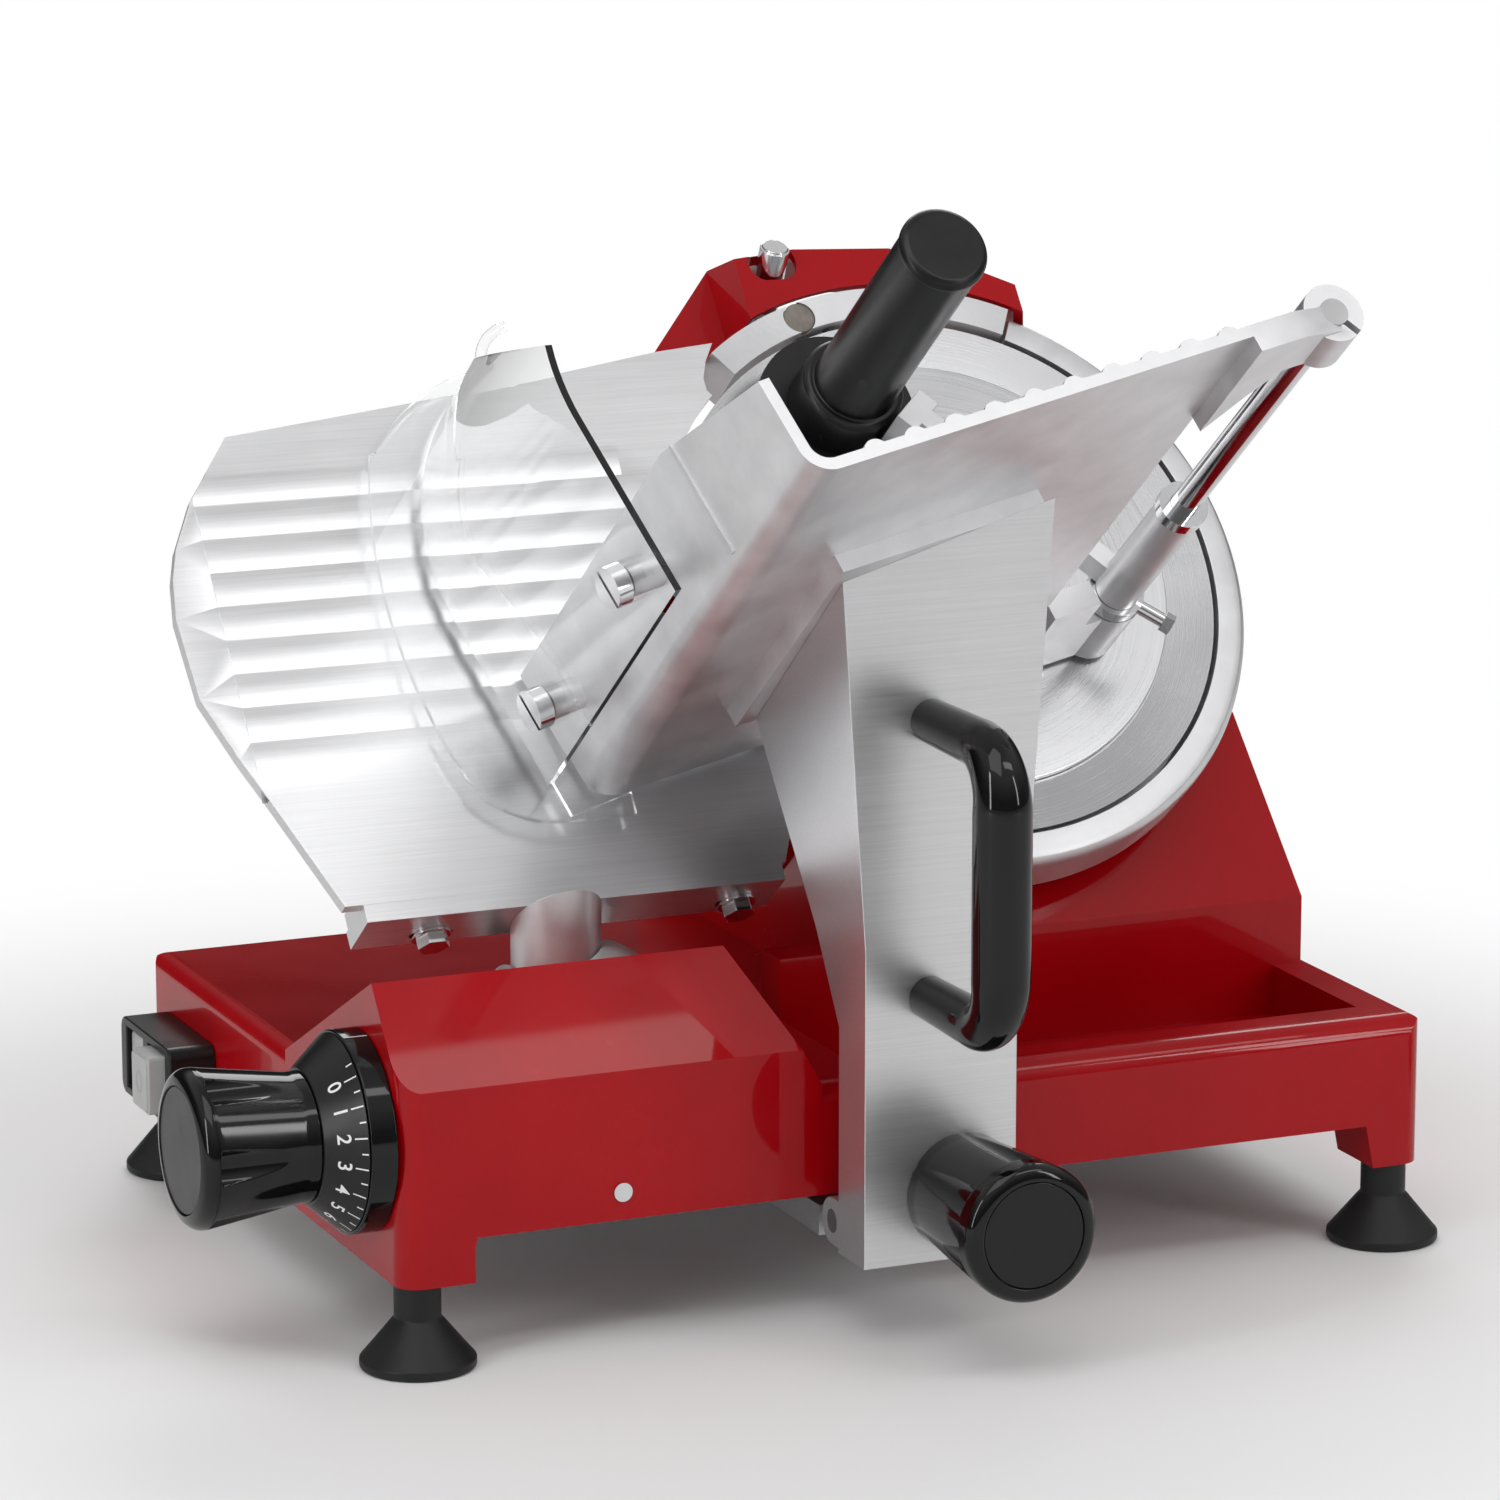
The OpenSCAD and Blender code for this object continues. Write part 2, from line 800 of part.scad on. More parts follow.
module rubber_feet() {
    rubber() for (x = [foot_x0, foot_x0 + foot_span_x], y = [foot_y0, foot_y0 + foot_span_y])
        translate([x, y, 0]) rotate_extrude() polygon([[foot_head_r + over, 0], [foot_r - over, 0],
            [foot_r, over], [foot_r, foot_disc_h - over], [foot_r - over, foot_disc_h],
            [foot_neck_r + over, foot_flare_h], [foot_neck_r, foot_flare_h + over],
            [foot_neck_r, base_bottom], [foot_bolt_r + run_gap, base_bottom],
            [foot_bolt_r + run_gap, foot_recess_h], [foot_head_r + over, foot_recess_h]]);
}

module foot_screws() {
    steel() for (x = [foot_x0, foot_x0 + foot_span_x], y = [foot_y0, foot_y0 + foot_span_y])
        translate([x, y, foot_recess_h - foot_head_h]) {
            cylinder(r = foot_head_r, h = foot_head_h, $fn = 6);
            cylinder(r = foot_bolt_r - run_gap, h = foot_bolt_top - foot_recess_h + foot_head_h - over);
        }
}

module belt_cover() {
    red() intersection() {
        on_blade() translate([0, 0, -support_back - belt_cover_t]) difference() {
            linear_extrude(belt_cover_t) support_outline(0);
            translate([0, 0, -over]) cylinder(r = tie_rod_r + seat_gap, h = belt_cover_t + 2 * over);
        }
        translate([ledge_x0, ledge_y, hood_z + seat_gap]) cube([base_l, base_d, far]);
    }
}

module blade_ring() {
    alu() on_blade() difference() {
        union() {
            rotate([0, 0, ring_start]) rotate_extrude(angle = ring_end - ring_start)
                polygon([[web_r - over, ring_back + web_step], [ring_ri, ring_back + web_step],
                    [ring_ri, ring_back], [ring_ro, ring_back], [ring_ro, ring_face - ring_edge_r],
                    [ring_ro - 0.15 * ring_edge_r, ring_face - 0.5 * ring_edge_r],
                    [ring_ro - 0.5 * ring_edge_r, ring_face - 0.15 * ring_edge_r],
                    [ring_ro - ring_edge_r, ring_face], [ring_ri, ring_face],
                    [ring_ri, ring_back + web_t - web_step],
                    [web_r - over, ring_back + web_t - web_step]]);
            translate([0, 0, ring_back]) cylinder(r = web_r, h = web_t);
            translate([0, 0, hub_back]) cylinder(r = hub_r, h = hub_front - hub_back);
        }
        for (a = [45:90:315]) rotate([0, 0, a]) translate([0.62 * web_r, 0, ring_back - over])
            cylinder(r = web_r / 5, h = web_t + 2 * over);
        translate([0, 0, hub_back - over]) cylinder(r = bearing_ri + over, h = hub_front - hub_back + 2 * over);
        for (z = [-bearing_front - bearing_w, hub_back + hub_lip])
            translate([0, 0, z]) cylinder(r = bearing_ro + run_gap, h = bearing_w);
    }
}

module blade_bearings() {
    steel() on_blade() for (z = [-bearing_front - bearing_w, hub_back + hub_lip])
        translate([0, 0, z]) tube(bearing_ro, bearing_ri + run_gap, bearing_w);
}

module blade() {
    steel() on_blade() rotate_extrude() polygon([[bearing_ri + run_gap, -blade_t], [bevel_r, -blade_t],
        [blade_r, -edge_t], [blade_r, 0], [bevel_r, -blade_t / 3], [bearing_ri + run_gap, -blade_t / 3]]);
}

module blade_shaft() {
    steel() on_blade() rotate_extrude() polygon([[shaft_bore_r, shaft_end], [bearing_ri, shaft_end],
        [bearing_ri, -blade_t - shaft_flange_t], [shaft_flange_r, -blade_t - shaft_flange_t],
        [shaft_flange_r, -blade_t], [bearing_ri, -blade_t], [bearing_ri, -blade_t / 3],
        [shaft_bore_r, -blade_t / 3]]);
}

module pulley(r, bore) {
    translate([0, 0, pulley_z - pulley_w / 2]) difference() {
        cylinder(r = r - seat_gap, h = pulley_w);
        translate([0, 0, -over]) cylinder(r = bore + run_gap, h = pulley_w + 2 * over);
    }
}

module blade_pulley() {
    alu() on_blade() difference() {
        pulley(pulley_r, bearing_ri);
        for (a = [0:72:288]) rotate([0, 0, a]) translate([0.6 * pulley_r, 0, pulley_z - pulley_w])
            cylinder(r = pulley_r / 5, h = 2 * pulley_w);
    }
}

module belt_outline(o) {
    m = (pulley_r - motor_pulley_r) / motor_v;
    k = sqrt(1 - m * m);
    circle(pulley_r + o);
    translate([0, motor_v]) circle(motor_pulley_r + o);
    polygon([(pulley_r + o) * [k, m], [0, motor_v] + (motor_pulley_r + o) * [k, m],
        [0, motor_v] + (motor_pulley_r + o) * [-k, m], (pulley_r + o) * [-k, m]]);
}

module drive_belt() {
    rubber() on_blade() translate([0, 0, pulley_z - belt_w / 2]) linear_extrude(belt_w) difference() {
        belt_outline(belt_t);
        belt_outline(0);
    }
}

module motor() {
    steel() on_blade() translate([0, motor_v, motor_front]) difference() {
        union() {
            translate([-mount_post_u - mount_post_r, -motor_r, -motor_plate_t])
                linear_extrude(motor_plate_t) round_rect(2 * mount_post_u + 2 * mount_post_r,
                    2 * motor_r, mount_post_r);
            translate([0, 0, -motor_plate_t - motor_l]) cylinder(r = motor_r, h = motor_l);
            translate([0, 0, -motor_plate_t - motor_l - motor_plate_t])
                cylinder(r = motor_r / 2, h = motor_plate_t + over);
        }
        translate([0, 0, -motor_plate_t - motor_l / 3])
            cylinder(r = motor_shaft_r + run_gap, h = motor_l);
    }
}

module motor_pulley() {
    alu() on_blade() translate([0, motor_v, 0]) {
        pulley(motor_pulley_r, motor_shaft_r - 2 * over);
        translate([0, 0, motor_front - motor_plate_t - motor_l / 4])
            cylinder(r = motor_shaft_r, h = pulley_z - motor_front + motor_plate_t + motor_l / 4);
    }
}

module motor_capacitor() {
    black() {
        along_x(hood_x0 + 2 * base_wall, capacitor_y, hood_bottom + base_wall + capacitor_r)
            cylinder(r = capacitor_r, h = capacitor_l);
        translate([hood_x0 + 4 * base_wall, capacitor_y - capacitor_r / 2, hood_bottom + base_wall])
            cube([capacitor_l / 2, capacitor_r, capacitor_r]);
    }
}

module blade_cover() {
    alu() on_blade() translate([0, 0, ring_face - cover_t]) cylinder(r = cover_r, h = cover_t);
}

module cover_tie_rod() {
    steel() on_blade() translate([0, 0, -support_back - belt_cover_t - tie_knob_l / 2])
        cylinder(r = tie_rod_r, h = support_back + belt_cover_t + tie_knob_l / 2 + ring_face - cover_t);
}

// Knob with finger grooves, standing on z = 0
module knob(l, r0, r1, rim, recess_r, recess_d, bore, deep) {
    groove = r1 / 4;
    difference() {
        rotate_extrude() polygon([[0, 0], [r0 - over, 0], [r0, over], [r0, l / 4], [r1, l - rim],
            [r1, l - 2 * over], [r1 - 2 * over, l], [0, l]]);
        for (i = [1:knob_flutes]) rotate([0, 0, (i + 0.5) * 360 / knob_flutes])
            translate([r1 + 0.45 * groove, 0, 0.3 * l]) cylinder(r = groove, h = 0.7 * l - 1.2 * rim);
        translate([0, 0, l - recess_d]) cylinder(r = recess_r + seat_gap, h = recess_d + over);
        translate([0, 0, -over]) cylinder(r = bore + run_gap, h = deep + over);
    }
}

module tie_rod_knob() {
    black() on_blade() translate([0, 0, -support_back - belt_cover_t]) rotate([180, 0, 0])
        knob(tie_knob_l, tie_knob_r - over, tie_knob_r, tie_knob_l / 4, tie_knob_r / 2, over,
            tie_rod_r, tie_knob_l / 2);
}

// Switch on the left face of the base
switch_x0 = base_left - switch_out;
button_y0 = switch_y0 + (switch_w - 2 * button_w) / 3;
button_y1 = switch_y0 + switch_w - (switch_w - 2 * button_w) / 3 - button_w;
button_z0 = switch_z0 + (switch_h - button_h) / 2;

module switch_housing() {
    black() difference() {
        along_side(switch_x0, switch_out) translate([switch_y0, switch_z0])
            round_rect(switch_w, switch_h, 2 * switch_wall);
        for (y = [button_y0, button_y1])
            translate([switch_x0 - over, y - button_gap, button_z0 - button_gap])
                cube([switch_out + over - switch_wall, button_w + 2 * button_gap, button_h + 2 * button_gap]);
    }
}

module switch_button(y, out) {
    x0 = base_left - out;
    x1 = base_left - switch_wall - press - button_gap;
    along_side(x0 + over, x1 - x0 - over) translate([y, button_z0])
        round_rect(button_w, button_h, 2 * over);
    along_side(x0, over) translate([y + over, button_z0 + over])
        round_rect(button_w - 2 * over, button_h - 2 * over, 2 * over);
}

module start_button() { color([0.1, 0.45, 0.16]) switch_button(button_y1, start_out); }

module stop_button() { color([0.7, 0.05, 0.05]) switch_button(button_y0, stop_out); }

module cord_gland() {
    rubber() along_y(gland_x, base_back - base_wall - gland_l / 3, gland_z) difference() {
        union() {
            cylinder(r = gland_neck_r - seat_gap, h = gland_l / 3 + base_wall + over);
            translate([0, 0, gland_l / 3 + base_wall]) cylinder(r1 = gland_r, r2 = gland_neck_r, h = gland_l / 2);
            translate([0, 0, over]) cylinder(r = gland_r, h = gland_l / 3 - over - seat_gap);
        }
        translate([0, 0, -over]) cylinder(r = gland_bore, h = 2 * gland_l);
    }
}

module dial_ring() {
    black() along_x(base_left - dial_t, dial_y, dial_z) difference() {
        cylinder(r = dial_r, h = dial_t);
        translate([0, 0, -over]) cylinder(r = knob_shaft_r + over, h = dial_t + 2 * over);
    }
}

scale_x = base_left - dial_t - seat_gap;
knob_x = scale_x - scale_l;

module thickness_scale() {
    black() along_x(knob_x, dial_y, dial_z) difference() {
        cylinder(r1 = knob_root_r + over, r2 = scale_r, h = scale_l);
        translate([0, 0, -over]) cylinder(r = knob_shaft_r + run_gap, h = scale_l + 2 * over);
    }
}

module thickness_knob() {
    black() translate([knob_x, dial_y, dial_z]) rotate([0, -90, 0])
        knob(knob_l, knob_root_r, knob_r, knob_rim_l, knob_cap_r, knob_cap_t, knob_shaft_r, knob_l - knob_rim_l);
}

module thickness_knob_cap() {
    alu() translate([knob_x - knob_l + knob_cap_t, dial_y, dial_z]) rotate([0, -90, 0])
        cylinder(r = knob_cap_r, h = knob_cap_t - over / 2);
}

module knob_shaft() {
    steel() along_x(knob_x - knob_l + knob_rim_l, dial_y, dial_z)
        cylinder(r = knob_shaft_r, h = cam_x + cam_t - knob_x + knob_l - knob_rim_l);
}

// Spiral that grows by the gauge's travel over the knob's turn
module gauge_cam() {
    steel() translate([cam_x, dial_y, dial_z]) rotate([90, 0, 90]) difference() {
        linear_extrude(cam_t) polygon([for (i = [0:cam_steps]) let (f = i / cam_steps,
            r = cam_r + gauge_travel * f, a = f * knob_turn) r * [cos(a), sin(a)]]);
        translate([0, 0, -over]) cylinder(r = knob_shaft_r + run_gap, h = cam_t + 2 * over);
    }
}

module gauge_guide_rod() {
    steel() along_y(gauge_x, rail_y0, rail_z) cylinder(r = rail_r, h = rail_y1 - rail_y0);
}

module gauge_slider() {
    alu() difference() {
        union() {
            translate([gauge_x - slider_w / 2, gauge_y - slider_l / 2, rail_z - slider_h / 2])
                cube([slider_w, slider_l, slider_h]);
            along_y(cam_x + cam_t / 2, dial_y + cam_r + nose_gap, dial_z)
                cylinder(r = nose_r, h = gauge_y - slider_l / 2 - dial_y - cam_r);
        }
        along_y(gauge_x, gauge_y - slider_l, rail_z) cylinder(r = rail_r + run_gap, h = 2 * slider_l);
    }
}

module below_bar(lift) {
    on_blade() translate([-far, -far - gauge_down - bracket_t - lift, -far]) cube([2 * far, far, 2 * far]);
}

module gauge_post() {
    alu() intersection() {
        translate([gauge_x, gauge_y, rail_z + slider_h / 2]) cylinder(r = gauge_post_r, h = far / 4);
        below_bar(0);
    }
}

bolt_places = [[bracket_u0 + slot_inset, -bracket_d + hex_r + over],
    [bracket_u0 + bracket_l - slot_inset / 2, -bracket_d + hex_r + over]];

module gauge_bracket() {
    alu() on_blade() difference() {
        translate([bracket_u0, -gauge_down, -bracket_d]) rotate([90, 0, 0]) linear_extrude(bracket_t)
            square([bracket_l, bracket_d]);
        for (p = bolt_places) translate([p[0], -gauge_down + over, p[1]]) rotate([90, 0, 0])
            linear_extrude(bracket_t + 2 * over) slot_2d(slot_l / 2, slot_w);
    }
}

module gauge_bolts() {
    steel() on_blade() for (p = bolt_places) translate([p[0], -gauge_down, p[1]]) rotate([90, 0, 0]) {
        translate([0, 0, bracket_t]) cylinder(r = washer_r, h = washer_t);
        translate([0, 0, bracket_t + washer_t]) cylinder(r = hex_r, h = hex_h, $fn = 6);
        translate([0, 0, -rib_t]) cylinder(r = bolt_r, h = bracket_t + washer_t + rib_t);
    }
}

// Fixed dome round the gauge post, on the hump's rear slope
module post_collar() {
    fall = hump_z - deck_z;
    run = hump_back_y - hump_ridge_y;
    y = gauge_y + collar_shift;
    alu() difference() {
        translate([gauge_x + collar_shift, y, hump_z - fall * (y - hump_ridge_y) / run])
            rotate([-atan(fall / run), 0, 0]) rotate_extrude() polygon([[0, 0], [collar_r, 0],
                [collar_r, collar_h / 4], [0.9 * collar_r, 0.7 * collar_h], [0.72 * collar_r, collar_h],
                [0, collar_h]]);
        translate([gauge_x, gauge_y + gauge_travel / 2, deck_z]) rotate([0, 0, 90])
            linear_extrude(far / 4) post_slot();
    }
}

// Points of the gauge plate as shares of its length and heights
wave_count = 9;
wave_pitch = 0.172 * gauge_up;
wave_h = 0.6;
wave_r = (pow(0.485 * wave_pitch, 2) + wave_h * wave_h) / (2 * wave_h);
gauge_overlap = 14;
gauge_u0 = gauge_overlap - blade_r;
gauge_shares = [[0.978, 1], [0.348, 1.163], [-0.02, 1.289], [-0.155, 1.316], [-0.128, 1.217],
    [-0.113, 1.13], [-0.113, 1.065], [-0.25, 0.65], [-0.25, -0.469], [-0.085, -0.688], [0, -1],
    [0.965, -1], [1.069, -0.602], [1.11, -0.453], [1.164, -0.227], [1.174, 0.092], [1.161, 0.294],
    [1.14, 0.444], [1.083, 0.692]];

module gauge_outline() {
    difference() {
        polygon([for (p = gauge_shares)
            [gauge_u0 - gauge_l * p[0], p[1] * (p[1] > 0 ? gauge_up : gauge_down)]]);
        circle(blade_r + gauge_blade_gap);
    }
}

module gauge_plate() {
    alu() on_blade() difference() {
        union() {
            translate([0, 0, -gauge_t]) linear_extrude(gauge_t) gauge_outline();
            // Shallow waves that the food slides on
            intersection() {
                translate([gauge_u0 - 2 * gauge_l, -gauge_down, -gauge_t / 2])
                    cube([2 * gauge_l, gauge_down + gauge_up, gauge_t]);
                for (i = [0:wave_count - 1])
                    translate([gauge_u0 - 1.08 * gauge_l, 0.74 * gauge_up - i * wave_pitch, wave_h - wave_r])
                        rotate([0, 90, 0]) cylinder(r = wave_r, h = 0.95 * gauge_l, $fn = 256);
            }
            // Ribs behind and the foot on the bar
            for (k = [0.25, 0.75]) translate([gauge_u0 - k * gauge_l, -gauge_down + bracket_t, -gauge_t - rib_d])
                cube([rib_t, gauge_down + gauge_up / 2, rib_d + over]);
            translate([gauge_u0 - gauge_l, gauge_up / 3, -gauge_t - rib_d])
                cube([0.8 * gauge_l, rib_t, rib_d + over]);
            translate([bracket_u0 + over, -gauge_down, -bracket_d])
                cube([bracket_l - 2 * over, bracket_t, bracket_d - over]);
        }
        for (p = bolt_places) translate([p[0], -gauge_down - over, p[1]]) rotate([-90, 0, 0])
            cylinder(r = bolt_r + run_gap, h = rib_t + 2 * over);
    }
}

module carriage_rod() {
    steel() along_x(base_left + base_wall / 2, guide_y, guide_z)
        cylinder(r = guide_r, h = base_l - base_wall);
}

module carriage_rail() {
    steel() translate([base_left + base_wall, flat_y, flat_z])
        cube([base_l - 2 * base_wall, flat_w, flat_h]);
}

module carriage_slider() {
    steel() difference() {
        union() {
            translate([carriage_x - block_l / 2, guide_y - block_w / 2, guide_z - block_h / 2])
                cube([block_l, block_w, block_h]);
            translate([carriage_x - link_w / 2, tongue_y, link_z])
                cube([link_w, guide_y - tongue_y, link_h]);
            translate([arm_x0, base_front + base_wall / 2, link_z - 2 * over])
                cube([arm_w, guide_y - base_front - base_wall / 2, link_h + over]);
            along_x(carriage_x - link_w / 2, pivot_y, pivot_z) cylinder(r = eye_r - over, h = link_w);
            translate([lock_x - tongue_w / 2, tongue_y, link_z])
                cube([tongue_w, tongue_t, tongue_top - link_z]);
            // Tail to the roller
            translate([carriage_x - axle_r, guide_y, axle_z - axle_r])
                cube([2 * axle_r, flat_y - guide_y - over, 2 * axle_r]);
            along_y(carriage_x, flat_y - 2 * over, axle_z) cylinder(r = axle_r, h = flat_w + over);
        }
        along_x(carriage_x - block_l, guide_y, guide_z) cylinder(r = guide_r + run_gap, h = 2 * block_l);
        along_x(carriage_x - block_l, pivot_y, pivot_z) cylinder(r = pivot_r + run_gap, h = 2 * block_l);
        translate([lock_x - fork_w / 2, tongue_y - over, link_z + link_h + over])
            cube([fork_w, tongue_t + 2 * over, tongue_top]);
    }
}

module support_roller() {
    rubber() along_y(carriage_x, flat_y + over / 2, axle_z)
        tube(roller_r, axle_r + run_gap, roller_w);
}

module arm_hinge_pin() {
    steel() along_x(arm_x0, pivot_y, pivot_z) cylinder(r = pivot_r, h = arm_w);
}

module below_tray(lift) {
    on_blade() translate([tray_u, tray_v, 0]) rotate([0, 0, tray_slope])
        translate([-far, -far - lift, -far]) cube([2 * far, far, 2 * far]);
}

module arm_solid(t, back) {
    x1 = arm_x0 + arm_w;
    intersection() {
        along_front(arm_front + t, far / 2) polygon([[arm_x0 + t, arm_bottom - (t > 0 ? over : 0)],
            [arm_x0 + t, arm_kink_z], [arm_x0 + t - arm_top_in, arm_top_z], [x1 - t + arm_top_out, arm_top_z],
            [x1 - t, arm_bend_z], [x1 - t, arm_bottom - (t > 0 ? over : 0)]]);
        along_side(arm_x0 - far / 8, far / 4) polygon([[arm_front, arm_bottom - over],
            [arm_front + arm_depth + back, arm_bottom - over], [arm_front + arm_depth + back, arm_bend_z],
            [arm_wing_y + back, arm_wing_z], [arm_wing_y + back, arm_top_z], [arm_front, arm_top_z]]);
        below_tray(pad_t + t);
    }
}

module carriage_arm() {
    alu() difference() {
        union() {
            difference() {
                arm_solid(0, 0);
                arm_solid(arm_t, over);
            }
            for (x = [arm_x0, arm_x0 + arm_w - arm_t]) along_side(x, arm_t) {
                translate([pivot_y, pivot_z]) circle(eye_r);
                translate([arm_front + arm_t / 2, pivot_z - eye_r])
                    square([pivot_y - arm_front - arm_t / 2, 2 * eye_r]);
            }
        }
        along_x(arm_x0 - over, pivot_y, pivot_z) cylinder(r = pivot_r + run_gap, h = arm_w + 2 * over);
        along_y(lock_x, arm_front - over, lock_z) cylinder(r = stud_r + run_gap, h = arm_t + 2 * over);
        for (z = [0, handle_span]) along_y(handle_x, arm_front - over, handle_z0 + z)
            cylinder(r = stud_r + run_gap, h = arm_t + 2 * over);
    }
}

module lock_knob() {
    black() translate([lock_x, arm_front, lock_z]) rotate([90, 0, 0]) {
        knob(lock_l, lock_root_r, lock_r, knob_rim_l, lock_cap_r, knob_cap_t, 0, 0);
        translate([0, 0, -stud_l]) cylinder(r = stud_r, h = stud_l + over);
    }
}

module lock_knob_cap() {
    alu() translate([lock_x, arm_front - lock_l + knob_cap_t, lock_z]) rotate([90, 0, 0])
        cylinder(r = lock_cap_r, h = knob_cap_t - over / 2);
}

module arm_handle() {
    grip_y = arm_front - handle_reach;
    grip_r = handle_grip_d / 2;
    low = handle_z0 + handle_bend_r;
    high = handle_z0 + handle_span - handle_bend_r;
    black() {
        for (z = [0, handle_span]) translate([handle_x, arm_front, handle_z0 + z]) rotate([90, 0, 0]) {
            cylinder(r1 = handle_stub_r, r2 = handle_bend_w, h = handle_reach - handle_bend_r);
            translate([0, 0, -arm_t]) cylinder(r = stud_r, h = arm_t + over);
        }
        translate([handle_x, grip_y + handle_bend_r, low]) rotate([0, -90, 0]) rotate([0, 0, 180])
            rotate_extrude(angle = 90) translate([handle_bend_r, 0]) circle(handle_bend_w);
        translate([handle_x, grip_y + handle_bend_r, high]) rotate([0, -90, 0]) rotate([0, 0, -90])
            rotate_extrude(angle = 90) translate([handle_bend_r, 0]) circle(handle_bend_w);
        translate([handle_x, grip_y, low]) rotate_extrude() polygon([[0, 0], [handle_bend_w, 0],
            [grip_r, grip_r / 2], [grip_r, high - low - grip_r / 2], [handle_bend_w, high - low],
            [0, high - low]]);
    }
}

module tray_profile() {
    d = tray_lean - tray_slope;
    c = tray_corner_r / sin(d / 2) * [cos(d / 2), sin(d / 2)];
    turns = [for (i = [0:tray_corner_steps]) 270 - i * (180 - d) / tray_corner_steps];
    inner = [for (i = [tray_corner_steps:-1:0]) turns[i]];
    top = tray_wall_h * [cos(d), sin(d)];
    polygon(concat([[tray_l, tray_t], [tray_l, 0]],
        [for (a = turns) c + tray_corner_r * [cos(a), sin(a)]],
        [top, top + tray_t * [sin(d), -cos(d)]],
        [for (a = inner) c + (tray_corner_r - tray_t) * [cos(a), sin(a)]]));
    for (i = [0:tray_ribs - 1])
        translate([tray_rib_a0 + i * (tray_l - tray_rib_a0 - 2 * tray_rib_r) / (tray_ribs - 1),
            tray_t + tray_rib_up - tray_rib_r]) intersection() {
                circle(tray_rib_r);
                translate([-tray_rib_r, tray_rib_r - tray_rib_up - tray_t / 2])
                    square(2 * tray_rib_r);
            }
}

module on_tray() {
    on_blade() translate([tray_u, tray_v, 0]) rotate([0, 0, tray_slope]) children();
}

module on_wall() {
    on_blade() translate([tray_u, tray_v, 0]) rotate([0, 0, tray_lean]) children();
}

clip_at = norm([rod_u - tray_u, rod_v - tray_v]) * cos(atan2(rod_v - tray_v, rod_u - tray_u) - tray_slope);
clip_up = norm([rod_u - tray_u, rod_v - tray_v]) * sin(atan2(rod_v - tray_v, rod_u - tray_u) - tray_slope);

module carriage_tray() {
    n1 = tray_gap + tray_depth;
    alu() difference() {
        union() {
            on_tray() {
                difference() {
                    translate([0, 0, tray_gap]) linear_extrude(tray_depth) tray_profile();
                    // Wall drops at its outer end
                    rotate([0, 0, tray_lean - tray_slope]) translate([0, tray_t, 0]) rotate([90, 0, 0])
                        linear_extrude(3 * tray_t) polygon([
                            [tray_wall_h + 0.2 * tray_cut_h, n1 - 1.2 * tray_cut_n],
                            [tray_wall_h - 1.2 * tray_cut_h, n1 + 0.2 * tray_cut_n],
                            [far / 2, n1 + 0.2 * tray_cut_n], [far / 2, n1 - 1.2 * tray_cut_n]]);
                }
                translate([pad_a0, -pad_t, pad_n0]) cube([pad_a1 - pad_a0, pad_t + over, pad_n1 - pad_n0]);
                translate([tray_l - over, tray_t - clip_t, tray_gap])
                    cube([tray_web_a - tray_l + over, clip_t, tray_web_n - tray_gap]);
                for (z = [[tray_gap, clip_low_l], [n1 - clip_drop - clip_l, clip_l]])
                    translate([clip_at, clip_up, z[0]]) cylinder(r = clip_r, h = z[1]);
                translate([tray_l - over, tray_t - clip_t, tray_gap])
                    cube([clip_at - tray_l + over, clip_t, clip_low_l]);
                translate([0, tray_t, 0]) rotate([90, 0, 0]) linear_extrude(clip_t)
                    polygon([[tray_l - over, n1], [tray_l + clip_l, n1], [clip_at, n1 - clip_drop],
                        [clip_at, n1 - clip_drop - clip_l], [tray_l + clip_l, n1 - clip_drop - clip_l],
                        [tray_l + clip_l / 2, n1 - 2 * clip_l], [tray_l - over, n1 - 3 * clip_l]]);
            }
            on_wall() translate([tray_jog_h0, -over, tray_jog_n])
                cube([tray_wall_h - tray_jog_h0 - 2 * over, 2 * over, tray_t / 2]);
        }
        on_blade() translate([rod_u, rod_v, 0]) cylinder(r = rod_r + run_gap, h = far);
        on_tray() translate([clip_at, clip_up, n1 - clip_drop - clip_l - over]) rotate([0, 0, clip_slot_angle])
            translate([0, -clip_slot / 2, 0]) cube([2 * clip_r, clip_slot, clip_l + 2 * over]);
        for (z = guard_nut_ns) on_wall() translate([guard_nut_h, -tray_t - over, z]) rotate([-90, 0, 0])
            cylinder(r = guard_screw_r + run_gap, h = tray_t + 2 * over);
    }
}

module guard_side() {
    translate([guard_h0, guard_gap]) square([guard_h1 - guard_h0, guard_t]);
    intersection() {
        translate([guard_h1, guard_gap + guard_t - guard_arc_r]) difference() {
            circle(guard_arc_r);
            circle(guard_arc_r - guard_t);
        }
        translate([guard_h1, guard_gap + guard_t - guard_arc_r]) polygon([[0, 0], [0, 2 * guard_arc_r],
            [2 * guard_arc_r, 2 * guard_arc_r], 2 * guard_arc_r * [cos(guard_arc_end), sin(guard_arc_end)]]);
    }
}

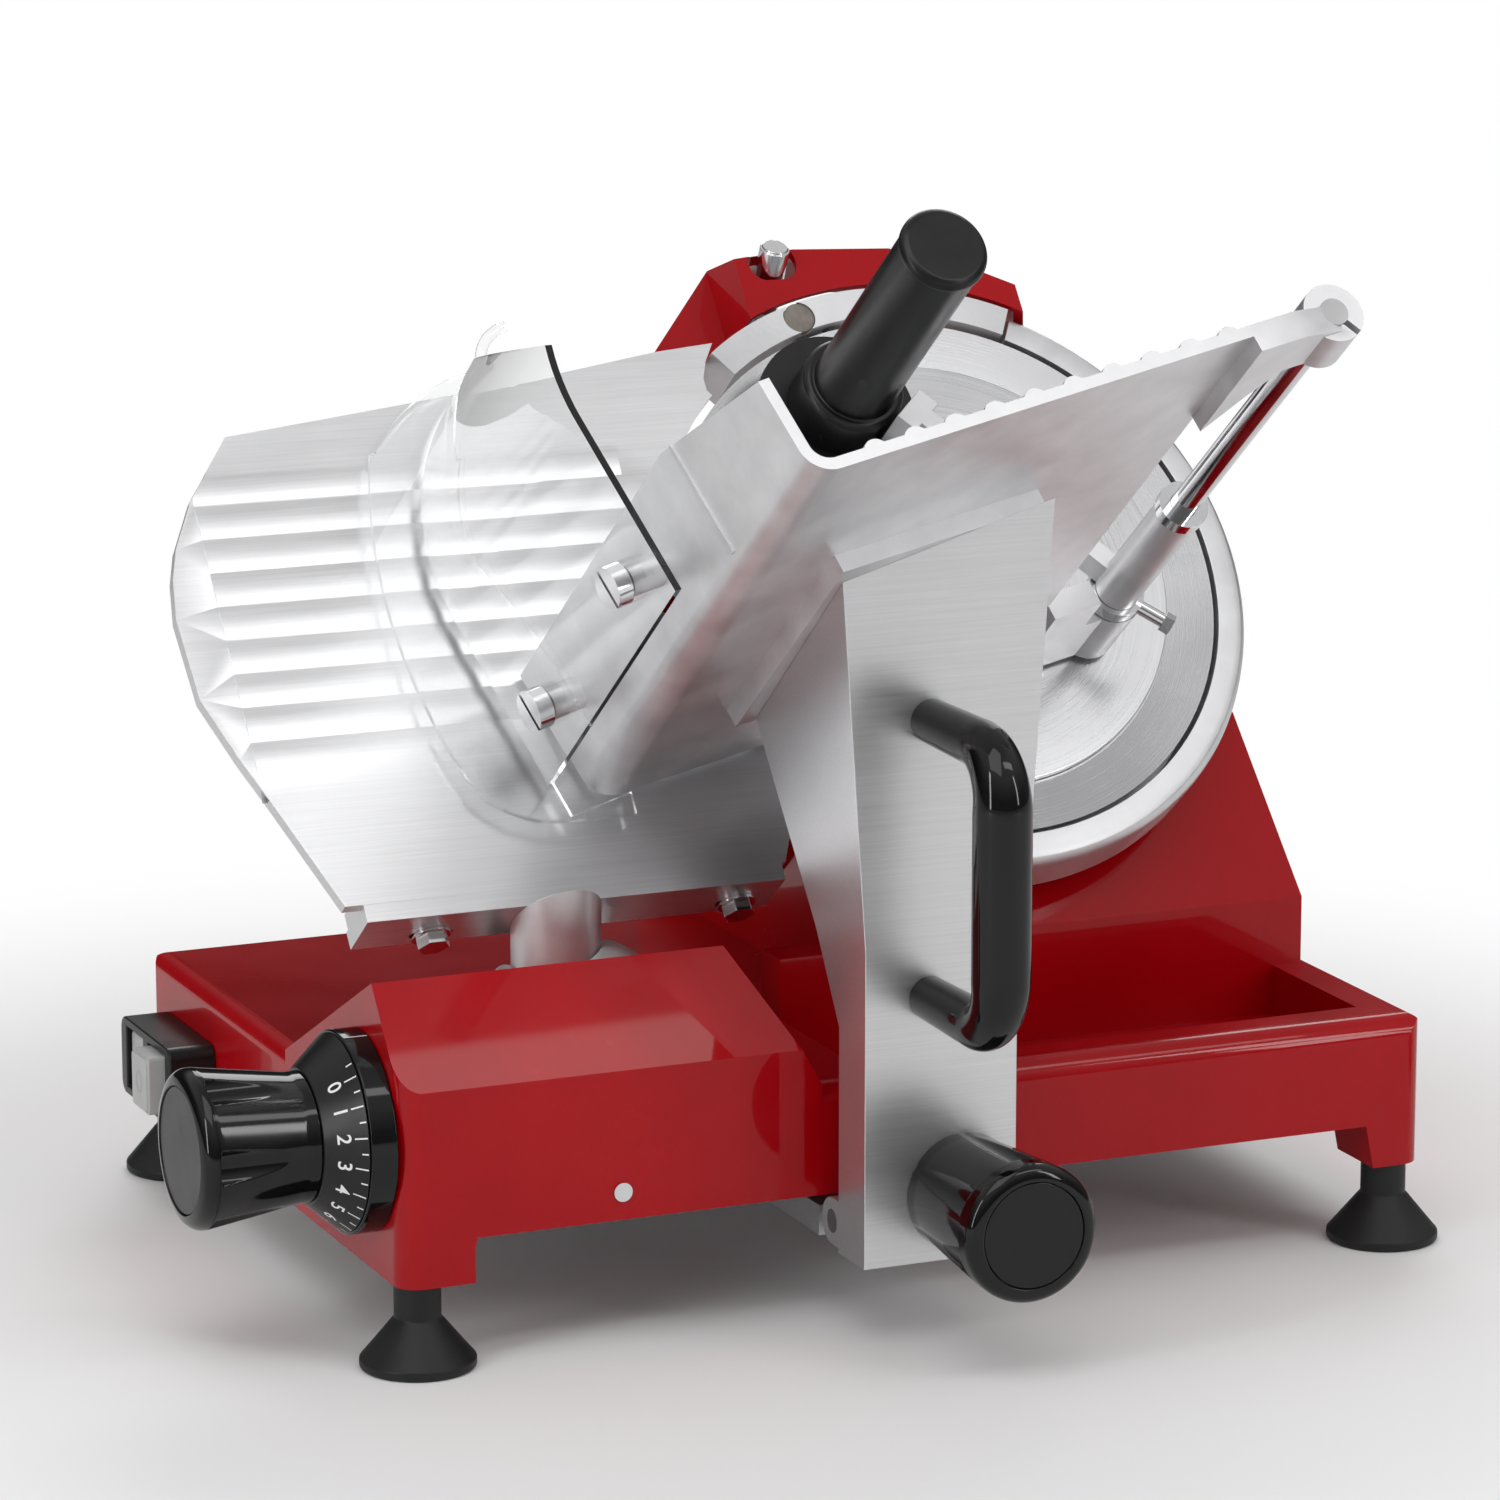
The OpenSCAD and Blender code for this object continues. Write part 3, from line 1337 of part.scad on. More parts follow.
module guard_flange() {
    difference() {
        intersection() {
            translate(guard_left) circle(guard_left_r);
            union() {
                translate(guard_top) circle(guard_top_r);
                translate([guard_low[0] - far / 4, guard_low[1] - far / 4])
                    square([far / 2, far / 4 + guard_top_r + guard_low_r]);
            }
            union() {
                translate(guard_low) circle(guard_low_r);
                translate([guard_low[0] - far / 4, guard_low[1]]) square([far / 2, far / 4]);
                translate([guard_low[0], guard_low[1] - guard_low_r]) square([far / 4, guard_low_r + over]);
            }
            translate([guard_right - far / 4, -far / 4]) square([far / 4, far / 2]);
        }
        translate([tray_u, tray_v]) rotate(tray_lean) {
            translate([-guard_t, guard_gap - far / 4]) square([guard_h1 + guard_t, far / 4]);
            translate([guard_h1, guard_gap + guard_t - guard_arc_r]) circle(guard_arc_r - guard_t);
        }
    }
}

module hand_guard() {
    color([0.8, 0.86, 0.9, 0.35]) difference() {
        union() {
            intersection() {
                on_wall() translate([0, 0, guard_n0]) linear_extrude(guard_n1 - guard_n0) guard_side();
                on_blade() translate([-far, 0, 0]) rotate([90, 0, 90]) linear_extrude(2 * far)
                    polygon([[-far, 0], [-far, guard_n1], [guard_corner_v, guard_n1 - guard_t],
                        [guard_tip_v, guard_n0 + guard_t], [guard_tip_v, 0]]);
            }
            on_blade() translate([0, 0, guard_n0]) linear_extrude(guard_t) guard_flange();
            // Curled finger tab at the tip
            on_blade() translate([guard_tip_u + hook_r, guard_tip_v - guard_t, guard_n0 + hook_rod_r])
                rotate([0, 0, 180 - hook_turn]) rotate_extrude(angle = hook_turn)
                    translate([hook_r, 0]) circle(hook_rod_r);
        }
        for (z = guard_nut_ns) on_wall() translate([guard_nut_h, guard_gap - over, z]) rotate([-90, 0, 0])
            cylinder(r = guard_screw_r + run_gap, h = guard_t + 2 * over);
    }
}

module guard_spacers() {
    alu() for (z = guard_nut_ns) on_wall() translate([guard_nut_h, 0, z]) rotate([-90, 0, 0])
        tube(spacer_r, guard_screw_r + run_gap, guard_gap);
}

module guard_nuts() {
    steel() for (z = guard_nut_ns) on_wall() translate([guard_nut_h, 0, z]) rotate([-90, 0, 0]) {
        translate([0, 0, -tray_t]) cylinder(r = guard_screw_r, h = guard_gap + tray_t + guard_t + over);
        difference() {
            translate([0, 0, guard_gap + guard_t]) cylinder(r = guard_nut_r, h = guard_nut_t);
            translate([-guard_nut_r, -over, guard_gap + guard_t + guard_nut_t - 2 * over])
                cube([2 * guard_nut_r, 2 * over, 3 * over]);
        }
    }
}

module pusher_rod() {
    steel() on_blade() translate([rod_u, rod_v, tray_gap]) cylinder(r = rod_r, h = tray_depth - clip_drop + over);
}

module pusher_slider() {
    steel() on_blade() translate([rod_u, rod_v, 0]) difference() {
        union() {
            translate([0, 0, slider_n0]) cylinder(r = slider_ro, h = slider_n1 - slider_n0);
            translate([0, 0, slider_n0]) cylinder(r = slider_collar_r + 1.5 * over, h = collar_w);
            translate([0, 0, slider_n1 - collar_w]) cylinder(r = slider_collar_r, h = collar_w);
            rotate([0, 0, lever_angle]) translate([0, 0, slider_n0 + collar_w / 2]) rotate([0, 90, 0])
                cylinder(r = 0.7 * lever_r, h = lever_l);
            rotate([0, 0, lever_angle]) translate([lever_l, 0, slider_n0 + collar_w / 2]) rotate([0, 90, 0])
                cylinder(r = lever_r, h = lever_r, $fn = 6);
        }
        translate([0, 0, slider_n0 - over]) cylinder(r = slider_ri, h = slider_n1 - slider_n0 + 2 * over);
    }
}

pusher_dx = pusher_u - rod_u;
pusher_dy = pusher_v - rod_v;
pusher_reach = norm([pusher_dx, pusher_dy]);

module pusher_arm() {
    alu() on_blade() translate([rod_u, rod_v, 0]) rotate([0, 0, atan2(pusher_dy, pusher_dx)]) difference() {
        union() {
            translate([0, 0, slider_n0 + collar_w + seat_gap])
                cylinder(r = arm_hub_r, h = slider_n1 - slider_n0 - 2 * collar_w - 2 * seat_gap);
            translate([0, -arm_bar_t / 2, arm_bar_n])
                cube([pusher_reach - pusher_neck_r - over, arm_bar_t, arm_bar_l]);
            translate([pusher_reach - 0.95 * pusher_d / 2, -arm_bar_t, pusher_n + pusher_t])
                cube([0.95 * pusher_d / 2 - pusher_neck_r - over, 2 * arm_bar_t,
                    arm_bar_n + arm_bar_l - pusher_n - pusher_t]);
        }
        translate([0, 0, slider_n0]) cylinder(r = slider_ro + run_gap, h = slider_n1);
    }
}

module pusher_disc() {
    black() on_blade() translate([pusher_u, pusher_v, pusher_n]) {
        cylinder(r = pusher_d / 2, h = pusher_t);
        for (r = [0.42, 0.8], a = [0:45:315]) rotate([0, 0, a]) translate([r * pusher_d / 2, 0, -spike_h])
            cylinder(r1 = 0, r2 = spike_r, h = spike_h);
    }
}

grip_n0 = pusher_n + pusher_t + pusher_neck_l;

module pusher_handle() {
    r = pusher_grip_d / 2;
    black() on_blade() translate([pusher_u, pusher_v, pusher_n + pusher_t]) difference() {
        rotate_extrude() polygon([[0, 0], [pusher_neck_r, 0], [pusher_neck_r, pusher_neck_l - 2 * over],
            [pusher_neck_r - 2 * over, pusher_neck_l], [r, pusher_neck_l],
            [r, pusher_neck_l + pusher_grip_l - pusher_cap_l], [0, pusher_neck_l + pusher_grip_l - pusher_cap_l]]);
        translate([0, 0, -over]) cylinder(r = spike_r, h = pusher_neck_l);
    }
}

module pusher_handle_cap() {
    r = pusher_grip_d / 2 + over;
    rubber() on_blade() translate([pusher_u, pusher_v, grip_n0 + pusher_grip_l - pusher_cap_l]) rotate_extrude()
        polygon([[0, 0], [r - over, 0], [r, over], [r, 0.5 * pusher_cap_l], [r - over, 0.8 * pusher_cap_l],
            [r - 3 * over, pusher_cap_l], [0, pusher_cap_l]]);
}

// Outline given in shares of the blade's radius, drawn in by k about the roof's centre
function shrink(shares, k) = [for (p = shares)
    blade_r * (roof_centre_share + k * (p - roof_centre_share))];

module roof_solid(k, t) {
    hull() {
        translate([0, 0, roof_n0 - t - over]) linear_extrude(over) polygon(shrink(roof_front_shares, k));
        translate([0, 0, roof_n1 - t]) linear_extrude(over) polygon(shrink(roof_back_shares, k));
    }
    translate([0, 0, roof_n2 - (t > 0 ? over : 0)]) linear_extrude(roof_n1 - roof_n2 + over)
        polygon(shrink(roof_back_shares, k));
    translate([0, 0, roof_n2 - (t > 0 ? over : 0)]) linear_extrude(roof_n1 - roof_n2 - t)
        polygon(shrink(roof_wing_shares, k));
}

// Frame of the sharpener's button, z out of the roof
module on_button() {
    on_blade() button_frame() children();
}

module button_frame() {
    translate([button_u, button_v, 0]) rotate([-button_tilt, 0, 0]) children();
}

module sharpener_cover() {
    red() difference() {
        on_blade() difference() {
            roof_solid(1, 0);
            roof_solid(roof_share, roof_wall);
            translate([0, 0, roof_n2 - 2 * over]) cylinder(r = hood_gap_r, h = far / 4);
        }
        on_button() translate([0, 0, -button_l / 2]) linear_extrude(2 * button_l)
            slot_2d(3.4 * button_r, 2.3 * button_r);
    }
}

module sharpener_body() {
    alu() on_blade() difference() {
        union() {
            rotate([0, 0, sharp_a0]) rotate_extrude(angle = sharp_a1 - sharp_a0)
                translate([ring_ri, ring_back]) square([ring_w, sharp_face - ring_back]);
            translate([-sharp_mount_w / 2, sharp_mount_v, -support_face])
                cube([sharp_mount_w, ring_ri + over - sharp_mount_v, support_face + ring_back + over]);
            // Arm behind the blade that carries the grinding stone
            rotate([0, 0, stone_a]) translate([stone_at, 0, ring_back])
                cylinder(r = stone_r, h = web_t);
            // Seat of the button, up from the arc
            button_frame() translate([0, 0, button_out - button_l - button_drop])
                cylinder(r = button_r, h = button_drop - press - button_gap);
            translate([button_u - button_r, ring_ri, ring_back])
                cube([2 * button_r, ring_w, 2 * web_t]);
        }
        rotate([0, 0, stone_a]) translate([stone_at, 0, stone_n - stone_t]) cylinder(r = stone_r + over, h = 2 * stone_t);
        rotate([0, 0, stone_a]) translate([stone_at, 0, -support_face]) cylinder(r = stone_axle_r + run_gap, h = support_face);
        rotate([0, 0, burr_a]) translate([burr_at, 0, 0]) {
            cylinder(r = burr_r + over / 2, h = 2 * burr_t);
            translate([0, 0, ring_back - over]) cylinder(r = stone_axle_r + run_gap, h = -ring_back + 2 * over);
        }
        button_frame() translate([0, 0, button_out - button_l - press - button_gap / 2])
            cylinder(r = button_r + button_gap, h = button_l);
        cylinder(r = ring_ri, h = far / 4, center = true);
    }
}

module sharpener_button() {
    steel() on_button() translate([0, 0, button_out - button_l + over]) {
        cylinder(r = button_r, h = button_l - over);
        translate([0, 0, button_l - over]) cylinder(r = button_r - over, h = over);
    }
}

module grinding_stone() {
    rubber() on_blade() rotate([0, 0, stone_a]) translate([stone_at, 0, 0]) {
        translate([0, 0, stone_n - stone_t / 2]) cylinder(r = stone_r, h = stone_t);
        translate([0, 0, ring_back]) cylinder(r = stone_axle_r, h = stone_n - ring_back);
    }
}

module deburring_stone() {
    rubber() on_blade() rotate([0, 0, burr_a]) translate([burr_at, 0, 0]) {
        translate([0, 0, over / 2]) cylinder(r = burr_r, h = burr_t - over);
        translate([0, 0, ring_back / 2]) cylinder(r = stone_axle_r, h = -ring_back / 2 + over);
    }
}

// Sheet behind the blade that turns the slices down
module slice_deflector() {
    steel() on_blade() {
        translate([deflector_u, deflector_v, -support_face + deflector_gap]) linear_extrude(plate_t)
            round_rect(deflector_w, deflector_h, base_corner_r);
        for (p = deflector_post_shares)
            translate([deflector_u + deflector_w * p[0], deflector_v + deflector_h * p[1], -support_face])
                cylinder(r = 2 * screw_r, h = deflector_gap + plate_t / 2);
    }
}

base_body();
base_plate();
base_screws();
rubber_feet();
foot_screws();
belt_cover();
blade_ring();
blade_bearings();
blade();
blade_shaft();
blade_pulley();
blade_cover();
cover_tie_rod();
tie_rod_knob();
drive_belt();
motor();
motor_pulley();
motor_capacitor();
switch_housing();
start_button();
stop_button();
cord_gland();
dial_ring();
thickness_knob();
thickness_knob_cap();
thickness_scale();
knob_shaft();
gauge_cam();
gauge_guide_rod();
gauge_slider();
gauge_post();
gauge_bracket();
post_collar();
gauge_plate();
gauge_bolts();
carriage_rod();
carriage_rail();
carriage_slider();
support_roller();
arm_hinge_pin();
carriage_arm();
lock_knob();
lock_knob_cap();
carriage_tray();
arm_handle();
hand_guard();
guard_spacers();
guard_nuts();
pusher_rod();
pusher_slider();
pusher_arm();
pusher_disc();
pusher_handle();
pusher_handle_cap();
sharpener_cover();
sharpener_body();
sharpener_button();
grinding_stone();
deburring_stone();
slice_deflector();
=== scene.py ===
"""Electric food slicer: finishes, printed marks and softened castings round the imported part."""

import json
import math

import bmesh
import bpy
import numpy as np
from mathutils import Matrix, Vector

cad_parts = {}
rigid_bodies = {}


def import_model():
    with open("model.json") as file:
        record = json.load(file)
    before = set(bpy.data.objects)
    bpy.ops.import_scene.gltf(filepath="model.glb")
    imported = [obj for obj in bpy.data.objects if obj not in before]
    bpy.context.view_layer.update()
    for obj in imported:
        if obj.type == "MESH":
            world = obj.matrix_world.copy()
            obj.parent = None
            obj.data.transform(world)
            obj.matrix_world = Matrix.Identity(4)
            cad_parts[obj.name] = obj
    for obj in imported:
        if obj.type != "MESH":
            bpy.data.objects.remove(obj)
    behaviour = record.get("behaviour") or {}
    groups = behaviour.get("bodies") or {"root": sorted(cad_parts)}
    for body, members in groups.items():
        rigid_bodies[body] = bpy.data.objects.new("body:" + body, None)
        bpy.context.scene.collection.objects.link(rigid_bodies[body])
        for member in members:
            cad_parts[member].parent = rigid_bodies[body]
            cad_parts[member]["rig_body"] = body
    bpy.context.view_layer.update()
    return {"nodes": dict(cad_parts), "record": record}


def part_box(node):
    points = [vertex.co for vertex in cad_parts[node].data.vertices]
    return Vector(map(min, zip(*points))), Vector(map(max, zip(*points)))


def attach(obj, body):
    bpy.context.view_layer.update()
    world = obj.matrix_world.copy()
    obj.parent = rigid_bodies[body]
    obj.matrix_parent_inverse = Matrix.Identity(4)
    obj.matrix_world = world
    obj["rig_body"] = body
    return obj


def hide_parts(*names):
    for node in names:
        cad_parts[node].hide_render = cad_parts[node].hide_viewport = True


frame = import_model()

MM = 0.001
MICRON = 1e-6
NODES = frame["nodes"]
SLOT_OF = {s["node"]: s["material_slot"] for s in frame["record"]["subparts"]}

# The blade's own frame: centre, and the turn that takes +Z to its axle
BLADE_LEAN = math.radians(90 - 38)
BLADE_CENTRE = (115.5 * MM, 40 * MM, 276 * MM)
BLADE_TURN = (BLADE_LEAN, 0, 0)
ON_BLADE = {"centre": BLADE_CENTRE, "turn": BLADE_TURN}


# Shader building

def put(tree, kind, props=None, **sockets):
    """Adds a shader node; a socket given as a number is set, one given as a socket is linked.

    A socket's name is written with underscores for its blanks, or as i and its place in the row of inputs.
    """
    made = tree.nodes.new(kind)
    for key, value in (props or {}).items():
        setattr(made, key, value)
    for key, value in sockets.items():
        by_place = key[0] == "i" and key[1:].isdigit()
        where = made.inputs[int(key[1:]) if by_place else key.replace("_", " ")]
        if isinstance(value, bpy.types.NodeSocket):
            tree.links.new(value, where)
        else:
            where.default_value = value
    return made


def maths(tree, operation, a, b):
    return put(tree, "ShaderNodeMath", {"operation": operation}, i0=a, i1=b).outputs[0]


def vector_maths(tree, operation, **sockets):
    return put(tree, "ShaderNodeVectorMath", {"operation": operation}, **sockets).outputs


def mix_of(tree, a, share, b):
    """The sum of two values that are weighted with share and what is left of one."""
    return maths(tree, "ADD", maths(tree, "MULTIPLY", a, share), maths(tree, "MULTIPLY", b, 1 - share))


def noise(tree, vector, scale, detail, roughness=0.5):
    made = put(tree, "ShaderNodeTexNoise", Vector=vector, Scale=scale, Detail=detail, Roughness=roughness)
    return made.outputs["Fac"]


def group(name, inputs):
    """An empty node group with a vector and named float inputs, and a height and a tone to put out."""
    tree = bpy.data.node_groups.new(name, "ShaderNodeTree")
    tree.interface.new_socket("Vector", in_out="INPUT", socket_type="NodeSocketVector")
    for label, value in inputs.items():
        made = tree.interface.new_socket(label, in_out="INPUT", socket_type="NodeSocketFloat")
        made.default_value = value
    for label in ("Height", "Tone"):
        tree.interface.new_socket(label, in_out="OUTPUT", socket_type="NodeSocketFloat")
    return tree, tree.nodes.new("NodeGroupInput").outputs, tree.nodes.new("NodeGroupOutput").inputs


def make_grain():
    """Sand-cast or moulded skin: a fine pitted height and a slow tone."""
    slow_share = 0.03
    tree, given, result = group("skin_grain", {"Scale": 900.0})
    fine = noise(tree, given["Vector"], given["Scale"], 3.0, 0.6)
    slow = noise(tree, given["Vector"], maths(tree, "MULTIPLY", given["Scale"], slow_share), 4.0, 0.55)
    tree.links.new(fine, result["Height"])
    tree.links.new(slow, result["Tone"])
    return tree


def make_brushed():
    """Brushing along the vector's first axis: noise stretched many times longer than it is wide."""
    tree, given, result = group("brushed_lines", {"Scale": 700.0, "Stretch": 0.02})
    stretch = put(tree, "ShaderNodeCombineXYZ", X=given["Stretch"], Y=1.0, Z=1.0).outputs[0]
    drawn_out = vector_maths(tree, "MULTIPLY", i0=given["Vector"], i1=stretch)[0]
    lines = noise(tree, drawn_out, given["Scale"], 4.0, 0.7)
    slow = noise(tree, given["Vector"], 9.0, 3.0)
    tree.links.new(lines, result["Height"])
    tree.links.new(mix_of(tree, lines, 0.6, slow), result["Tone"])
    return tree


def make_turned():
    """Lathe marks: noise that changes only with the distance from the vector's third axis."""
    tree, given, result = group("turned_rings", {"Scale": 900.0})
    flat = vector_maths(tree, "MULTIPLY", i0=given["Vector"], i1=(1, 1, 0))[0]
    radius = vector_maths(tree, "LENGTH", i0=flat)["Value"]
    line = put(tree, "ShaderNodeCombineXYZ", X=radius).outputs[0]
    rings = noise(tree, line, given["Scale"], 4.0, 0.75)
    slow = noise(tree, given["Vector"], 14.0, 3.0)
    tree.links.new(rings, result["Height"])
    tree.links.new(mix_of(tree, rings, 0.65, slow), result["Tone"])
    return tree


GRAIN, BRUSHED, TURNED = make_grain(), make_brushed(), make_turned()

# The part of a pattern's tone over which colour and roughness change
TONE_LOW, TONE_HIGH = 0.3, 0.7


def finish(name, dark, light, rough, pattern, scale, bump, centre=(0, 0, 0), turn=(0, 0, 0), stretch=None,
           **constants):
    """A finish whose colour and roughness follow a pattern's tone, and whose bump is the pattern's height.

    rough is (smoothest, roughest); bump is in microns; constants are set on the shader's own sockets.
    """
    material = bpy.data.materials.new(name)
    material.use_nodes = True
    tree = material.node_tree
    shader = tree.nodes["Principled BSDF"]
    place = tree.nodes.new("ShaderNodeTexCoord").outputs["Object"]
    moved = put(tree, "ShaderNodeMapping", {"vector_type": "TEXTURE"}, Vector=place,
                Location=centre, Rotation=turn)
    marks = put(tree, "ShaderNodeGroup", {"node_tree": pattern}, Vector=moved.outputs[0], Scale=scale)
    if stretch is not None:
        marks.inputs["Stretch"].default_value = stretch
    tone = marks.outputs["Tone"]
    ramp = put(tree, "ShaderNodeValToRGB", Fac=tone)
    for stop, position, colour in zip(ramp.color_ramp.elements, (TONE_LOW, TONE_HIGH), (dark, light)):
        stop.position, stop.color = position, (*colour, 1)
    tree.links.new(ramp.outputs[0], shader.inputs["Base Color"])
    spread = put(tree, "ShaderNodeMapRange", Value=tone, i1=TONE_LOW, i2=TONE_HIGH, i3=rough[0], i4=rough[1])
    tree.links.new(spread.outputs[0], shader.inputs["Roughness"])
    raised = put(tree, "ShaderNodeBump", Height=marks.outputs["Height"], Distance=bump * MICRON, Strength=1.0)
    tree.links.new(raised.outputs[0], shader.inputs["Normal"])
    for key, value in constants.items():
        shader.inputs[key.replace("_", " ")].default_value = value
    return material


FINISHES = {
    "red_lacquer": finish(
        "red_lacquer", (0.345, 0.0005, 0.0035), (0.4, 0.0008, 0.0045), (0.2, 0.28), GRAIN, 500, 1.5,
        Coat_Weight=0.42, Coat_Roughness=0.03, Coat_IOR=1.48, Specular_IOR_Level=0.06),
    "cast_aluminium": finish(
        "cast_aluminium", (0.65, 0.65, 0.66), (0.78, 0.78, 0.79), (0.36, 0.48), GRAIN, 1400, 7, Metallic=0.85),
    "brushed_aluminium": finish(
        "brushed_aluminium", (0.64, 0.64, 0.65), (0.78, 0.78, 0.79), (0.27, 0.38), BRUSHED, 900, 5,
        **ON_BLADE, stretch=0.015, Metallic=0.88),
    "blade_steel": finish(
        "blade_steel", (0.4, 0.4, 0.41), (0.58, 0.58, 0.59), (0.2, 0.32), TURNED, 1500, 8,
        **ON_BLADE, Metallic=1.0),
    "bright_steel": finish(
        "bright_steel", (0.64, 0.64, 0.65), (0.76, 0.76, 0.77), (0.07, 0.15), GRAIN, 800, 1, Metallic=1.0),
    "dull_steel": finish(
        "dull_steel", (0.4, 0.4, 0.41), (0.56, 0.56, 0.57), (0.34, 0.52), BRUSHED, 700, 6,
        **ON_BLADE, stretch=0.03, Metallic=1.0),
    "black_phenolic": finish(
        "black_phenolic", (0.0025, 0.0025, 0.0026), (0.0045, 0.0045, 0.0046), (0.06, 0.1), GRAIN, 600, 0.6,
        Specular_IOR_Level=0.36),
    "black_satin": finish(
        "black_satin", (0.004, 0.004, 0.0043), (0.008, 0.008, 0.0083), (0.27, 0.36), GRAIN, 1600, 5,
        Specular_IOR_Level=0.36),
    "black_rubber": finish(
        "black_rubber", (0.009, 0.009, 0.0095), (0.016, 0.016, 0.0165), (0.42, 0.55), GRAIN, 1200, 8,
        Specular_IOR_Level=0.3),
    "clear_acrylic": finish(
        "clear_acrylic", (0.955, 0.96, 0.96), (0.97, 0.975, 0.975), (0.0, 0.02), GRAIN, 40, 0.5,
        Transmission_Weight=1.0, IOR=1.16, Coat_Weight=1.0, Coat_Roughness=0.01),
    "pale_plastic": finish(
        "pale_plastic", (0.4, 0.4, 0.4), (0.47, 0.47, 0.47), (0.28, 0.38), GRAIN, 900, 3),
    "grit_stone": finish(
        "grit_stone", (0.1, 0.08, 0.07), (0.3, 0.27, 0.24), (0.8, 0.95), GRAIN, 2500, 60),
}
MACHINED = finish(
    "machined_face", (0.52, 0.52, 0.53), (0.74, 0.74, 0.75), (0.22, 0.34), TURNED, 700, 9,
    **ON_BLADE, Metallic=0.92)
ROUGH_CAST = finish(
    "rough_casting", (0.5, 0.5, 0.51), (0.82, 0.82, 0.83), (0.4, 0.6), GRAIN, 260, 140, Metallic=0.85)
PRINT = finish("white_print", (0.78, 0.78, 0.78), (0.86, 0.86, 0.86), (0.4, 0.5), GRAIN, 900, 1)


def darken_rims(material, shade):
    """Paints shade into a clear material's colour where its surface turns away from the eye, in place of the
    darker look that light gives a sheet's rounded rim.
    """
    tree = material.node_tree
    shader = tree.nodes["Principled BSDF"]
    plain_colour = shader.inputs["Base Color"].links[0].from_socket
    facing = put(tree, "ShaderNodeLayerWeight", Blend=0.4).outputs["Facing"]
    share = put(tree, "ShaderNodeMapRange", {"interpolation_type": "SMOOTHSTEP"}, Value=facing,
                i1=0.45, i2=0.85)
    # Painted shade: the colour is mixed towards a grey as the surface turns edge-on to the eye
    mixed = put(tree, "ShaderNodeMix", {"data_type": "RGBA"}, Factor=share.outputs[0],
                i6=plain_colour, i7=(shade, shade, shade, 1))
    tree.links.new(mixed.outputs[2], shader.inputs["Base Color"])


# Painted shade on the clear acrylic's rims, where the view grazes the sheet
darken_rims(FINISHES["clear_acrylic"], 0.35)


# Meshes

def body_of(node):
    return NODES[node]["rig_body"]


def linked(name, data):
    """A new object in the scene for a mesh, a word, a lamp or a camera."""
    made = bpy.data.objects.new(name, data)
    bpy.context.scene.collection.objects.link(made)
    return made


def mesh_object(name, vertices, faces, body, slot, material=None, smooth=True):
    """A new piece from arrays of corners and faces, riding on a body and taking its finish from a slot."""
    mesh = bpy.data.meshes.new(name)
    mesh.from_pydata(np.asarray(vertices, float).tolist(), [], [list(map(int, f)) for f in faces])
    mesh.update()
    mesh.materials.append(material or FINISHES[slot])
    if smooth:
        mesh.shade_smooth()
    piece = linked(name, mesh)
    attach(piece, body)
    return piece


def corners_of(mesh):
    """A mesh's corners as rows of x, y, z."""
    points = np.empty(len(mesh.vertices) * 3)
    mesh.vertices.foreach_get("co", points)
    return points.reshape(-1, 3)


def full_turn(count):
    return np.linspace(0, 2 * np.pi, count, endpoint=False)


def grid_faces(rows, columns):
    """Four-sided faces of rings of points stored ring by ring; each ring's last point joins its first."""
    r, c = np.meshgrid(np.arange(rows - 1), np.arange(columns), indexing="ij")
    n = (c + 1) % columns
    corners = [r * columns + c, r * columns + n, (r + 1) * columns + n, (r + 1) * columns + c]
    return np.stack(corners, -1).reshape(-1, 4)


def axle_frame(direction):
    """Two directions square to a direction, so that all three make a right-handed set."""
    d = np.asarray(direction, float) / np.linalg.norm(direction)
    side = np.cross(d, (0, 0, 1) if abs(d[2]) < 0.9 else (1, 0, 0))
    side /= np.linalg.norm(side)
    return side, np.cross(d, side), d


def round_piece(name, node, base, direction, heights, radii):
    """A piece round an axle: each row of radii is a ring at its height, and a pole closes both ends."""
    side, up, axle = axle_frame(direction)
    rows, turns = radii.shape
    angle = full_turn(turns)
    around = np.cos(angle)[:, None] * side + np.sin(angle)[:, None] * up
    rings = radii[..., None] * around[None] + np.asarray(heights, float)[:, None, None] * axle
    poles = [axle * heights[0], axle * heights[-1]]
    points = np.concatenate([rings.reshape(-1, 3), poles]) + np.asarray(base, float)
    low_pole, high_pole = rows * turns, rows * turns + 1
    k = np.arange(turns)
    last_ring = (rows - 1) * turns
    faces = grid_faces(rows, turns).tolist()
    faces += np.stack([(k + 1) % turns, k, np.full(turns, low_pole)], -1).tolist()
    faces += np.stack([k + last_ring, (k + 1) % turns + last_ring, np.full(turns, high_pole)], -1).tolist()
    piece = mesh_object(name, points, faces, body_of(node), SLOT_OF[node])
    piece.data.set_sharp_from_angle(angle=math.radians(50))
    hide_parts(node)
    return piece


